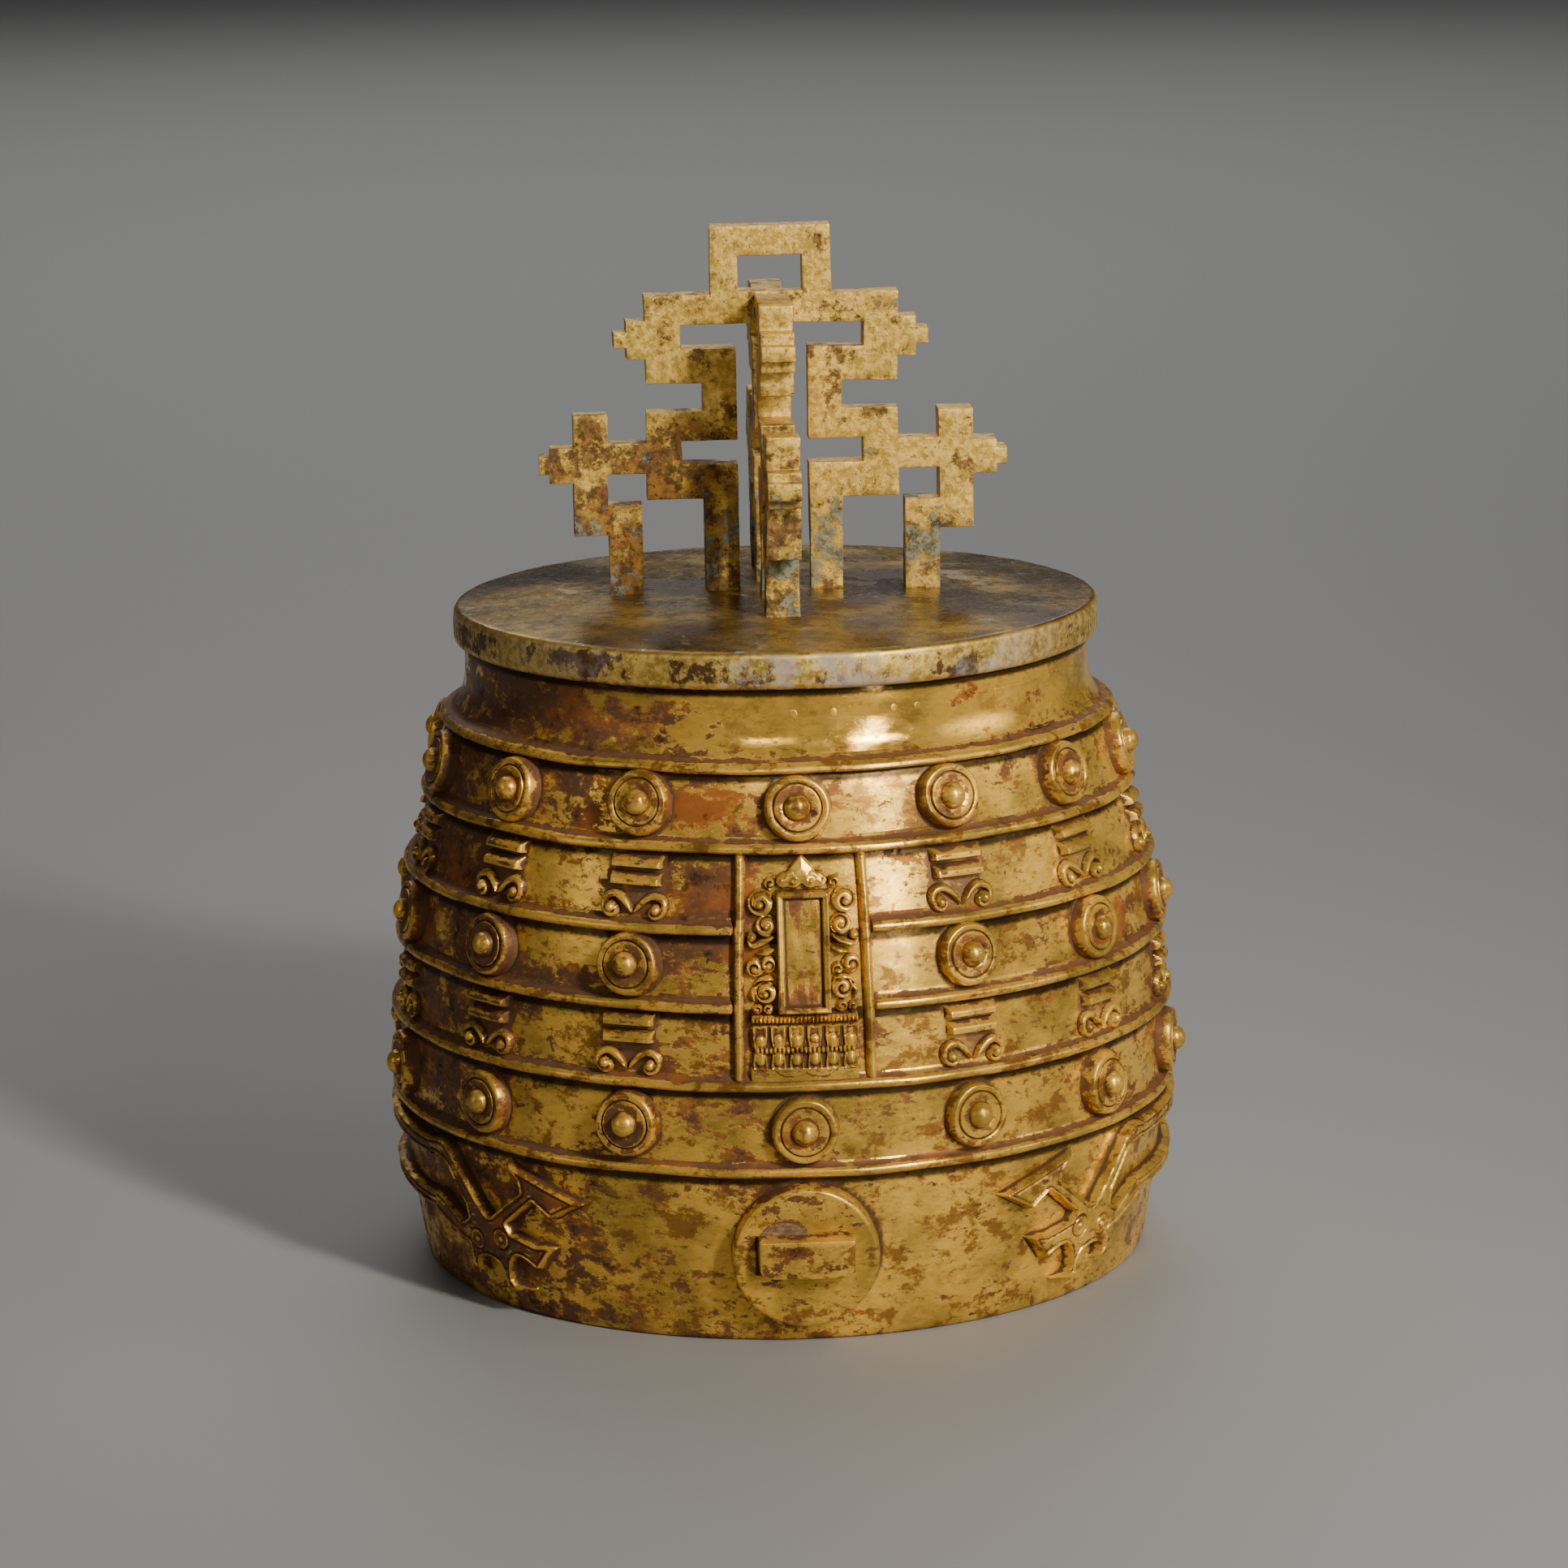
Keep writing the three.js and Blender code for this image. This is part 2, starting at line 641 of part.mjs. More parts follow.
// Outline of a dragon's head with its horn, jaw and hooked chin:
// [distance towards the strike disc from the head's middle, height].
const HEAD_OUTLINE = [
  [5, 45.6],
  [10, 38.6],
  [-1.5, 28.4],
  [-11.7, 38.3],
  [-17.3, 43.4],
  [-24.2, 44.6],
  [-27.2, 38.2],
  [-19.2, 37.2],
  [-11, 27.6],
  [-13.6, 24],
  [-21, 28.2],
  [-26.3, 28.9],
  [-27.6, 23],
  [-18.4, 18.7],
  [-11.4, 17.2],
  [-11.6, 11.3],
  [-6.1, 9.6],
  [-3, 14.2],
  [2.3, 7],
  [11.5, 8.1],
  [5.8, 13.2],
  [9.6, 16.4],
  [15.8, 14.7],
  [22.2, 22.6],
  [7.2, 24.6],
  [6.2, 26.2],
  [15.8, 33.8],
  [21.5, 29.8],
  [33, 36.3],
];

// Two heads that face the front and the back, joined by two bands round the side.
function dragonPrism() {
  const outline = HEAD_OUTLINE.map(([x, z]) => [HEAD_ANGLE - angleOf(x, SKIRT_TOP.z), z]);
  const start = HEAD_ANGLE + angleOf(BAND_START, SKIRT_TOP.z);
  const bands = NECK_BANDS.map(({ low, high }) =>
    radialPrism([
      [start, low],
      [90, low],
      [90, high],
      [start, high],
    ]),
  );
  const half = joined([radialPrism(outline), ...bands]);
  return half.add(half.mirror([0, 1, 0]));
}

function addDragons() {
  const layer = wallLayer(FIT_GAP, DRAGON_PROUD, 0, RIB_LEVELS[5]);
  const right = dragonPrism();
  const left = right.mirror([1, 0, 0]);
  addMesh("side_dragon_right", layer.intersect(turnTo(right, DRAGON_TURN)));
  addMesh("side_dragon_left", layer.intersect(turnTo(left, DRAGON_TURN)));
}

addBarrel();
addCrown();
addPins();
addHandle();
addCollars("long_plate", 0);
addCollars("cross_plate", 90);
for (const [face, angle] of Object.entries(FACES)) {
  addPanel(face, angle);
  addStrikePoint(face, angle);
}
addDragons();

export default group;
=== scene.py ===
import math
import bmesh
import bpy
import numpy as np
from mathutils import Matrix, Vector


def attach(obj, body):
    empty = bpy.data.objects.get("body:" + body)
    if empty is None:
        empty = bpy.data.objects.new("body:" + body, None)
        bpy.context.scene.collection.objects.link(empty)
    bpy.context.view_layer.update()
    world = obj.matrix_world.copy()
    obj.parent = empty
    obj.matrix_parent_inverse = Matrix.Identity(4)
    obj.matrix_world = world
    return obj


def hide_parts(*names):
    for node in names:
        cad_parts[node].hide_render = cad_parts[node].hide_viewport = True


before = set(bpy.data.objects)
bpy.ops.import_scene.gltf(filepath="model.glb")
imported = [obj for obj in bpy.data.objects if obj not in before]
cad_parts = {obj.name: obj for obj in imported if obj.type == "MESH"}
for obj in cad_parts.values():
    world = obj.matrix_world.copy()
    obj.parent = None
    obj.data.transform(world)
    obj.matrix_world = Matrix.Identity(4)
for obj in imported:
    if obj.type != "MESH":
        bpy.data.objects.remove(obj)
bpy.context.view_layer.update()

# Lengths are millimetres and the mouth is at height 0. Angles go round from the front towards +X.
MM = 0.001
SEED = 11

# The bell's outer wall: radius and height from the mouth up to the neck
WALL_CURVE = [
    (101.6, 0),
    (103.4, 10),
    (105.4, 24),
    (106.6, 38),
    (107.3, 48.4),
    (106.9, 71.5),
    (105.2, 92.2),
    (102.2, 112.3),
    (96.8, 132.9),
    (90.9, 153.2),
    (87.8, 158.5),
    (86.2, 172.6),
]
WALL_THICKNESS = 6.0
WALL_TOP = 172.7
WALL_COLUMNS = 560
RIB_LEVELS = [153.2, 132.9, 112.3, 92.2, 71.5, 48.4]

# Columns of ornament on each quarter of the wall, and the panels between them
COLUMN_ANGLES = [25, 50, 76]
FACES = {"front": 0, "back": 180}
PANEL_ANGLES = {"front": 0.4, "back": 180}
POST_ANGLE = 9.25
POST_LOW = 72.3
POST_HIGH = 131.9

# Crown plate, its locating ring, and the rise towards its middle
CROWN_TOP = 183.0
CROWN_BOTTOM = 172.9
CROWN_RADIUS = 89.0
CROWN_EDGE = 1.9
CROWN_SWELL = 2.5
RING_OUTER = 79.9
RING_INNER = 73.9
RING_BOTTOM = 157.9

# Handle plates: bars as [near, far, low, high], near and far from the bell's axis
HANDLE_BARS = [
    [9.7, 19.0, 182.8, 220.8],
    [9.7, 34.8, 211.1, 220.8],
    [25.0, 34.8, 211.1, 235.3],
    [9.7, 34.8, 227.3, 235.3],
    [9.7, 19.0, 227.3, 252.6],
    [9.7, 34.8, 243.0, 252.6],
    [25.0, 34.8, 243.0, 267.3],
    [34.8, 40.0, 249.8, 260.4],
    [40.0, 43.4, 253.0, 257.2],
    [34.8, 55.0, 218.5, 226.8],
    [45.6, 55.0, 201.5, 234.8],
    [55.0, 61.6, 216.5, 226.1],
    [61.6, 64.5, 219.0, 223.6],
    [36.3, 55.0, 201.5, 209.8],
    [36.3, 45.6, 182.8, 209.8],
    [0.0, 34.8, 259.3, 267.3],
]
LOOP_BARS = [
    [-16.5, -8.9, 259.3, 286.0],
    [8.9, 16.5, 259.3, 286.0],
    [-16.5, 16.5, 278.0, 286.0],
    [-16.5, 16.5, 259.3, 268.1],
]
HANDLE_THICKNESS = 9.2
HANDLE_BEVEL = 0.9
LAP_LEVEL = 263.3
LAP_HALF_WIDTH = 4.9
LAP_GAP = 0.15
TENON_CENTRES = [-40.95, -14.35, 14.35, 40.95]
TENON_SIDE = 6.4
TENON_BOTTOM = 167.8
HEAD_SIDE = 9.0
HEAD_TOP = 169.3
MORTISE_SIDE = 7.0
MORTISE_DEPTH = 30.0

# Strike disc, its bar, and the stain on the disc above the bar's left half
DISC_LEVEL = 25.7
DISC_RADIUS = 19.6
BAR_RISE = 1.7
BAR_HALF_WIDTH = 12.6
BAR_HALF_HEIGHT = 5.1
STAIN_ACROSS = -5.8
STAIN_HALF_WIDTH = 6.4
STAIN_HEIGHT = 4.0

# Dragons on the skirt
HEAD_ANGLE = 47.7
DRAGON_TURN = -1.7
DRAGON_PROUD = 3.6

# Plugs and patch in the neck
PIN_ANGLES = [0, 7, 18, 22.5]
PIN_LEVEL = 166.3
PATCH_ANGLE = 43
PATCH_LEVEL = 165.3

# Camera, from a fit to the photograph: its place in metres and its angles in radians
CAMERA_PLACE = Vector((-0.0659, -1.3469, 0.4140))
CAMERA_HEADING = 0.0501
CAMERA_PITCH = 0.208
CAMERA_ROLL = -0.0167
CAMERA_LENS = 113.06

# Relief stops at this depth below the wall, where it can't be seen
FOOT = -0.35

# Relief counts as worn or hollow against its mean height within a reach, fully so at a height
BLUR_REACH = 0.9
FULL_WEAR = 0.45
TALLEST_RELIEF = 3.6

# Edges sharper than these angles stay sharp in the shading
SHARP_ANGLE = 38
HANDLE_SHARP_ANGLE = 50


# Curves and shared shapes


def curve_table(points, count=2000):
    """Heights and radii along a smooth curve through the wall's points."""
    r, z = np.array(points, float).T
    slope = np.gradient(r, z)
    levels = np.linspace(z[0], z[-1], count)
    i = np.clip(np.searchsorted(z, levels, side="right") - 1, 0, len(z) - 2)
    span = z[i + 1] - z[i]
    t = (levels - z[i]) / span
    radii = (
        (2 * t**3 - 3 * t**2 + 1) * r[i]
        + (t**3 - 2 * t**2 + t) * span * slope[i]
        + (3 * t**2 - 2 * t**3) * r[i + 1]
        + (t**3 - t**2) * span * slope[i + 1]
    )
    return levels, radii


WALL_LEVELS, WALL_RADII = curve_table(WALL_CURVE)


def wall(z):
    """Radius of the wall at a height."""
    return np.interp(z, WALL_LEVELS, WALL_RADII)


def waves(points, length, seed, count=9):
    """Smooth random values of about -1 to 1 at the points, that vary over about the given length."""
    rng = np.random.default_rng(seed)
    directions = rng.normal(size=(count, 3))
    directions /= np.linalg.norm(directions, axis=1)[:, None]
    lengths = length * rng.uniform(0.6, 1.9, count)
    phases = rng.uniform(0, 2 * math.pi, count)
    value = np.zeros(len(points))
    for direction, size, phase in zip(directions, lengths, phases):
        value += np.sin(points @ direction * (2 * math.pi / size) + phase)
    return value / math.sqrt(count) / 1.2


def ease(value, low, high):
    """Smooth step from 0 to 1."""
    t = np.clip((value - low) / (high - low), 0, 1)
    return t * t * (3 - 2 * t)


def hill(distance, width):
    """1 at no distance, falling away on both sides."""
    return np.exp(-((distance / width) ** 2))


def fading(distance, start, length):
    """1 up to the start, then dying away over a length."""
    return np.exp(-np.clip(distance - start, 0, None) / length)


def smaller(a, b, blend):
    """Smooth minimum."""
    h = np.clip(0.5 + 0.5 * (b - a) / blend, 0, 1)
    return b * (1 - h) + a * h - blend * h * (1 - h)


def circle(columns):
    """Angles once round, as one row."""
    return np.linspace(0, 2 * math.pi, columns, endpoint=False)[None, :]


def round_the_axis(angle, radius, z):
    """Points from angles in radians, radii and heights."""
    return np.stack(np.broadcast_arrays(radius * np.sin(angle), -radius * np.cos(angle), z), -1)


def wrapped(x, z, proud, angle):
    """Points at a distance x along the wall from an angle in degrees, and proud of it."""
    return round_the_axis(math.radians(angle) + x / wall(z), wall(z) + proud, z)


def revolved(profile, columns):
    """Angles, heights and points of rows of radius and height that are turned round the axis."""
    turn, radius = np.meshgrid(circle(columns), profile[:, 0])
    level = np.repeat(profile[:, 1], columns).reshape(radius.shape)
    return turn.ravel(), level.ravel(), round_the_axis(turn, radius, level).reshape(-1, 3)


def on_a_plane(across, up, out, angle, level, radius, tilt):
    """Points given across, up and out on a plane that leans by a tilt, at an angle, height and radius."""
    reach = radius + out * math.cos(tilt) - up * math.sin(tilt)
    z = level + up * math.cos(tilt) + out * math.sin(tilt)
    c, s = math.cos(math.radians(angle)), math.sin(math.radians(angle))
    return np.stack(np.broadcast_arrays(reach * s + across * c, -reach * c + across * s, z), -1)


def on_the_slope(across, up, out, angle, level):
    """Points on the plane that lies along the wall's slope at an angle and height."""
    slope = (wall(level + 4.0) - wall(level - 4.0)) / 8.0
    return on_a_plane(across, up, out, angle, level, wall(level), math.atan(-slope))


def against_skirt(across, up, out, angle):
    """Points on the strike disc's plane, which touches the skirt where it stands out most."""
    low, high = DISC_LEVEL - DISC_RADIUS, DISC_LEVEL + DISC_RADIUS
    z = np.linspace(low, high, 50)
    chord = wall(low) + (wall(high) - wall(low)) * (z - low) / (high - low)
    swell = np.max(wall(z) - chord)
    tilt = math.atan2(wall(low) - wall(high), 2 * DISC_RADIUS)
    return on_a_plane(across, up, out + swell, angle, DISC_LEVEL, (wall(low) + wall(high)) / 2, tilt)


def grid_faces(rows, columns, close_rows=False, close_columns=False):
    """Four-sided faces of a grid of points, closed round either way if asked."""
    row = np.arange(rows if close_rows else rows - 1)
    column = np.arange(columns if close_columns else columns - 1)
    r, c = np.meshgrid(row, column, indexing="ij")
    r1 = (r + 1) % rows
    c1 = (c + 1) % columns
    corners = [r * columns + c, r * columns + c1, r1 * columns + c1, r1 * columns + c]
    return np.stack(corners, -1).reshape(-1, 4)


def per_point(ring_values, columns, *tip_values):
    """A value for each point of some rings, and of the tips after them."""
    return np.append(np.repeat(ring_values, columns), tip_values)


class Shape:
    """Points, faces and named values at the points, gathered into one mesh."""

    def __init__(self):
        self.points = []
        self.faces = []
        self.values = {}
        self.count = 0

    def add(self, points, faces, **values):
        points = np.asarray(points, float).reshape(-1, 3)
        for name in set(self.values) | set(values):
            if name not in self.values:
                self.values[name] = [np.zeros(self.count)]
            given = values.get(name, 0.0)
            self.values[name].append(np.broadcast_to(np.ravel(given), (len(points),)).astype(float))
        self.points.append(points)
        self.faces.extend([tuple(int(i) + self.count for i in face) for face in faces])
        self.count += len(points)

    def add_rings(self, rings, tips, **values):
        """Joins rings into a skin, closed by a fan to a tip: one tip closes its end, two close both."""
        rows, columns = rings.shape[:2]
        tip = rows * columns
        last = tip - columns
        faces = [tuple(face) for face in grid_faces(rows, columns, False, True)]
        pairs = [(i, (i + 1) % columns) for i in range(columns)]
        if len(tips) == 2:
            faces += [(b, a, tip) for a, b in pairs]
        faces += [(last + a, last + b, tip + len(tips) - 1) for a, b in pairs]
        self.add(np.vstack([rings.reshape(-1, 3), tips]), faces, **values)

    def build(self, name, look, *stands_for, slot="gilt_bronze"):
        """Makes the mesh, gives it its finish and places it in the frame."""
        mesh = bpy.data.meshes.new(name)
        mesh.from_pydata(np.concatenate(self.points) * MM, [], self.faces)
        for key, parts in self.values.items():
            layer = mesh.attributes.new(key, "FLOAT", "POINT")
            layer.data.foreach_set("value", np.concatenate(parts).astype(np.float32))
        mesh.validate()
        piece = bpy.data.objects.new(name, mesh)
        bpy.context.collection.objects.link(piece)
        mesh.shade_smooth()
        mesh.set_sharp_from_angle(angle=math.radians(SHARP_ANGLE))
        mesh.materials.append(look)
        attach(piece, "root")
        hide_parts(*stands_for)
        return piece


def blurred(grid, reach):
    """Mean of each grid value and its neighbours within a reach, in both directions."""
    for axis in (0, 1):
        before = np.repeat(np.take(grid, [0], axis), reach + 1, axis)
        after = np.repeat(np.take(grid, [-1], axis), reach, axis)
        total = np.cumsum(np.concatenate([before, grid, after], axis), axis)
        start = np.arange(grid.shape[axis])
        whole = 2 * reach + 1
        grid = (np.take(total, start + whole, axis) - np.take(total, start, axis)) / whole
    return grid


def add_relief(shape, height, window, step, angle, turn=0.0, level=0.0):
    """A fine grid bent onto the wall, raised by height(x, z) and kept only where it shows.
    The drawing is turned by a small angle and set at its level."""
    left, right, low, high = window
    columns = int(round((right - left) / step)) + 1
    rows = int(round((high - low) / step)) + 1
    x, z = np.meshgrid(np.linspace(left, right, columns), np.linspace(low, high, rows))
    rise = np.maximum(height(x, z), FOOT)
    above = (rise - blurred(rise, int(round(BLUR_REACH / step)))) / FULL_WEAR
    worn = np.clip(above, 0, 1) * 0.75 + np.clip(rise / TALLEST_RELIEF, 0, 1) * 0.25
    hollow = np.clip(-above, 0, 1)
    faces = grid_faces(rows, columns)
    faces = faces[(rise.ravel()[faces] > FOOT + 1e-6).any(axis=1)]
    used, index = np.unique(faces, return_inverse=True)
    x, z, rise, worn, hollow = (grid.ravel()[used] for grid in (x, z, rise, worn, hollow))
    c, s = math.cos(turn), math.sin(turn)
    points = wrapped(x * c - z * s, x * s + z * c + level, rise, angle)
    # Hollows hold dust, and are darkened with dirt and painted shade.
    shape.add(points, index.reshape(-1, 4), rise=worn, dust=hollow * 0.8, soil=hollow)


# Parts of relief ornament, as heights above the wall


def slab(x, z, box, slopes, top):
    """Flat-topped block with sloping sides: box and slopes are left, right, low and high."""
    left, right, low, high = box
    sides = np.stack([x - left, right - x, z - low, high - z])
    inside = np.min(sides / np.reshape(slopes, (4, 1, 1)), axis=0)
    return smaller(inside, np.ones_like(inside), 0.3) * top


def path_through(knots, count):
    """Points of a smooth curve through rows of knots, whose later columns are eased too."""
    knots = np.asarray(knots, float)
    padded = np.vstack([2 * knots[0] - knots[1], knots, 2 * knots[-1] - knots[-2]])
    rows = []
    for t in np.linspace(0, len(knots) - 1 - 1e-9, count):
        i = int(t)
        u = t - i
        a, b, c, d = padded[i : i + 4]
        bend = (2 * a - 5 * b + 4 * c - d) * u**2 + (3 * b - a - 3 * c + d) * u**3
        rows.append(0.5 * (2 * b + (c - a) * u + bend))
    return np.array(rows)


def ribbon(x, z, knots, top, ridge=0.45, count=44):
    """Raised band along a curve of [x, z, half width] knots, with a ridge along its middle."""
    inside = np.full(x.shape, -9.0)
    for px, pz, half in path_through(knots, count):
        inside = np.maximum(inside, half - np.hypot(x - px, z - pz))
    edge = ease(inside, -0.12, 0.42)
    return np.where(inside > -0.5, (top + FOOT) * edge + FOOT + ridge * np.clip(inside, 0, 3) * edge, FOOT)


def leaf(x, z, knots, top):
    """Pointed leaf with a sharp ridge."""
    return ribbon(x, z, knots, top, 0.9, 24)


def dome(x, z, cx, cz, radius, base, rise):
    """Half ball on a base, with steep sides."""
    away = np.hypot(x - cx, z - cz) / radius
    ball = base + rise * np.sqrt(np.clip(1 - away**2, 0, 1))
    return np.where(away < 1, ball, FOOT)


def inside_outline(x, z, outline):
    """Distance inside a closed outline, negative outside it."""
    outline = np.asarray(outline, float)
    nearest = np.full(x.shape, 1e9)
    within = np.zeros(x.shape, bool)
    for (ax, az), (bx, bz) in zip(outline, np.roll(outline, -1, axis=0)):
        ex, ez = bx - ax, bz - az
        t = np.clip(((x - ax) * ex + (z - az) * ez) / (ex * ex + ez * ez + 1e-12), 0, 1)
        nearest = np.minimum(nearest, np.hypot(x - ax - t * ex, z - az - t * ez))
        crosses = (az > z) != (bz > z)
        within ^= crosses & (x < ex * (z - az) / (ez if abs(ez) > 1e-12 else 1e-12) + ax)
    return np.where(within, nearest, -nearest)


def curl(x, z, cx, cz, radius, start, hand, top=2.5):
    """A round scroll: a full leaf with a groove that winds in to a ball at its eye."""
    away = np.hypot(x - cx, z - cz)
    turn = np.arctan2(z - cz, x - cx) - math.radians(start)
    inside = radius * (1.05 + 0.08 * np.cos(turn)) - away
    body = ease(inside, -0.1, 0.5) * (top - 0.45) + FOOT + 0.3 * np.clip(inside, 0, 1.6)
    winding = np.linspace(0, 1, 9)
    reach = radius * (1 - 0.74 * winding) - 0.08
    at = math.radians(start) + hand * 2.1 * math.pi * winding
    nearest = np.full(x.shape, 9.0)
    for px, pz in path_through(np.stack([cx + reach * np.cos(at), cz + reach * np.sin(at)], -1), 60):
        nearest = np.minimum(nearest, np.hypot(x - px, z - pz))
    groove = 1.2 * hill(nearest, 0.07 * radius + 0.17)
    eye = dome(x, z, cx + 0.03 * radius, cz - 0.1 * radius, 0.27 * radius, top * 0.7, 0.22 * radius + 0.6)
    return np.maximum(np.where(inside > -0.4, body - groove, FOOT), eye)


def bend_through(a, b, c, count=7):
    """Points from a to c of a round bend that passes b."""
    a, b, c = (np.array(p, float) for p in (a, b, c))
    pull = 2 * b - (a + c) / 2
    t = np.linspace(0, 1, count)[:, None]
    return [tuple(p) for p in (1 - t) ** 2 * a + 2 * t * (1 - t) * pull + t**2 * c]


# Cloud signs

SIGN_RIBS = {"upper": 1, "lower": 3}
SIGN_LIFT = 1.5
SIGN_HALF_HEIGHT = 8.2

# One scroll of a sign: distance out, height and half width
SCROLL = [
    [0.45, 2.2, 0.45],
    [1.5, 3.6, 0.85],
    [3.2, 5.4, 1.1],
    [5.6, 6.5, 1.15],
    [8.0, 5.6, 1.15],
    [8.6, 3.6, 1.05],
    [7.7, 1.7, 0.95],
    [6.1, 1.1, 0.9],
    [4.9, 2.0, 0.75],
    [5.1, 3.3, 0.6],
    [6.1, 3.7, 0.5],
]


def sign_height(rng):
    """Height of one sign: two bars over a pair of scrolls, measured up from the rib below it."""
    left_out, right_out, right_up, upper_end, lower_end, _ = rng.uniform(-0.25, 0.25, 6)
    right_up *= 0.6
    left = [[-x + left_out, z, half] for x, z, half in SCROLL]
    right = [[x + right_out, z + right_up, half] for x, z, half in SCROLL]
    slopes = (0.9, 0.8, 0.45, 1.3)

    def height(x, z):
        return np.maximum.reduce([
            slab(x, z, (-7.4 + upper_end, 7.4, 13.3, 16.7), slopes, 2.8),
            slab(x, z, (-7.3, 7.3 + lower_end, 8.9, 12.4), slopes, 2.8),
            ribbon(x, z, left, 2.3),
            ribbon(x, z, right, 2.3),
            dome(x, z, -6.5 + left_out, 3.2, 1.45, 1.3, 1.9),
            dome(x, z, 6.5 + right_out, 3.2 + right_up, 1.45, 1.3, 1.9),
        ])

    return height


def column_angles():
    """Angles of the ornament columns all the way round."""
    angles = []
    for angle in COLUMN_ANGLES:
        angles += [angle, -angle, 180 - angle, angle - 180]
    return angles


def cloud_signs(looks):
    rng = np.random.default_rng(SEED)
    for name, rib in SIGN_RIBS.items():
        shape = Shape()
        floor = RIB_LEVELS[rib + 1] + SIGN_LIFT
        for angle in column_angles():
            turn = math.radians(rng.uniform(-0.8, 0.8))
            add_relief(shape, sign_height(rng), (-9.9, 9.9, -0.2, 17.2), 0.3, angle, turn, floor)
        shape.build(f"cloud_signs_{name}", looks["relief"], "bell_barrel")


# Barrel


def boss_places():
    """Row, angle and height of every boss."""
    places = []
    for row, upper in enumerate((0, 2, 4)):
        z = (RIB_LEVELS[upper] + RIB_LEVELS[upper + 1]) / 2
        columns = column_angles() if upper == 2 else [0, 180, *column_angles()]
        places += [(row, angle, z) for angle in columns]
    return places


def arc_gap(angle, centre, z):
    """Distance along the wall between angles in radians and a centre in degrees."""
    turn = (angle - math.radians(centre) + math.pi) % (2 * math.pi) - math.pi
    return turn * wall(z)


def wall_dirt_and_shade(angle, z):
    """Dust that lies against the ornament, and dark dirt with painted shade: shadows under the ribs and the
    crown plate's overhang, and rings round the bosses and strike discs; all from 0 to 1.
    """
    dust = []
    # Painted shadow of the crown plate's overhang along the top of the neck.
    soil = [0.95 * fading(WALL_TOP - z, 1.2, 1.2)]
    for level in RIB_LEVELS:
        dust.append(0.55 * fading(z - level, 2.2, 0.5) * (z > level))
        # Painted shadow under each rib, with dirt.
        soil.append(fading(level - z, 3.3, 1.2) * (z < level))
    boss_radius = BOSS_SECTION[1][0]
    for _, centre, level in boss_places():
        away = np.hypot(arc_gap(angle, centre, z), z - level)
        dust.append(0.95 * fading(away, boss_radius, 0.8))
        # Painted shade in a ring round each boss.
        soil.append(0.95 * fading(away, boss_radius, 0.6))
    for rib in SIGN_RIBS.values():
        up = abs(z - RIB_LEVELS[rib + 1] - SIGN_LIFT - SIGN_HALF_HEIGHT)
        for centre in column_angles():
            across = abs(arc_gap(angle, centre, z))
            outside = np.hypot(np.clip(across - 8.0, 0, None), np.clip(up - SIGN_HALF_HEIGHT, 0, None))
            dust.append(0.85 * fading(outside, 0, 0.8))
    for centre in PANEL_ANGLES.values():
        for side in (-1, 1):
            away = abs(arc_gap(angle, centre + side * POST_ANGLE, z))
            dust.append(0.8 * fading(away, 1.4, 0.8) * ((z > POST_LOW - 0.3) & (z < POST_HIGH + 0.1)))
        across = abs(arc_gap(angle, centre, z))
        dust.append(0.30 * ease(15.4 - across, 0, 1.5) * ((z > 73) & (z < 128)))
        away = np.hypot(across, z - DISC_LEVEL)
        dust.append(0.75 * fading(away, DISC_RADIUS + 0.2, 1.6))
        # Painted shade in a ring round the strike disc.
        soil.append(0.95 * fading(away, DISC_RADIUS + 0.2, 0.7))
    return np.maximum.reduce(dust), np.maximum.reduce(soil)


# Places where the gilding is more or less worn: angle, height, half width, half height, gold, redness
WORN_PLACES = [
    (-14, 144, 13, 9, -0.22, 1.0),
    (-39, 144, 16, 9, -0.18, 0.3),
    (-30, 164, 22, 5, -0.03, 0.5),
    (-58, 164, 26, 8, -0.10, 0.2),
    (30, 167, 11, 3, -0.22, 0.9),
    (25, 163, 30, 7, 0.10, 0.0),
    (-14, 121, 10, 9, -0.20, 0.9),
    (-39, 124, 12, 7, 0.03, 0.0),
    (-13, 107, 10, 5, -0.12, 1.0),
    (-14, 98, 9, 5, 0.10, 0.0),
    (-40, 106, 15, 5, 0.16, 0.0),
    (-40, 97, 12, 4, -0.05, 0.2),
    (40, 103, 9, 9, -0.10, 0.8),
    (57, 104, 12, 9, -0.10, 0.7),
    (-40, 84, 14, 8, 0.13, 0.0),
    (-15, 84, 11, 8, 0.04, 0.2),
    (38, 84, 10, 8, -0.08, 0.5),
    (-37, 62, 13, 8, 0.12, 0.0),
    (-16, 60, 12, 6, -0.05, 0.9),
    (41, 61, 9, 8, -0.12, 0.6),
    (14, 58, 12, 8, -0.06, 0.4),
    (23, 15, 20, 11, -0.07, 0.5),
    (-24, 32, 20, 12, 0.08, 0.2),
    (-48, 42, 16, 8, -0.10, 0.1),
    (-16, 10, 22, 8, 0.03, 0.3),
    (38, 124, 12, 9, 0.05, 0.0),
    (-66, 122, 14, 10, -0.12, 0.1),
    (-72, 86, 16, 20, -0.06, 0.2),
]

# All the worn places are turned by this many degrees
WORN_TURN = 2.5


def wear_of(angle, z):
    """Gold gained or lost at each point of the wall, and how red the bare places are."""
    gained = np.zeros(angle.shape)
    red = np.zeros(angle.shape)
    for centre, level, half_width, half_height, gold, redness in WORN_PLACES:
        x = arc_gap(angle, centre + WORN_TURN, z)
        share = hill(x, half_width) * hill(z - level, half_height)
        gained += gold * share
        red = np.maximum(red, redness * share)
    return gained, red


# Round edge of the mouth: distance from the wall's radius, and height
LIP = [(-1.2, 0.08), (-0.5, 0.45), (-0.15, 1.2)]


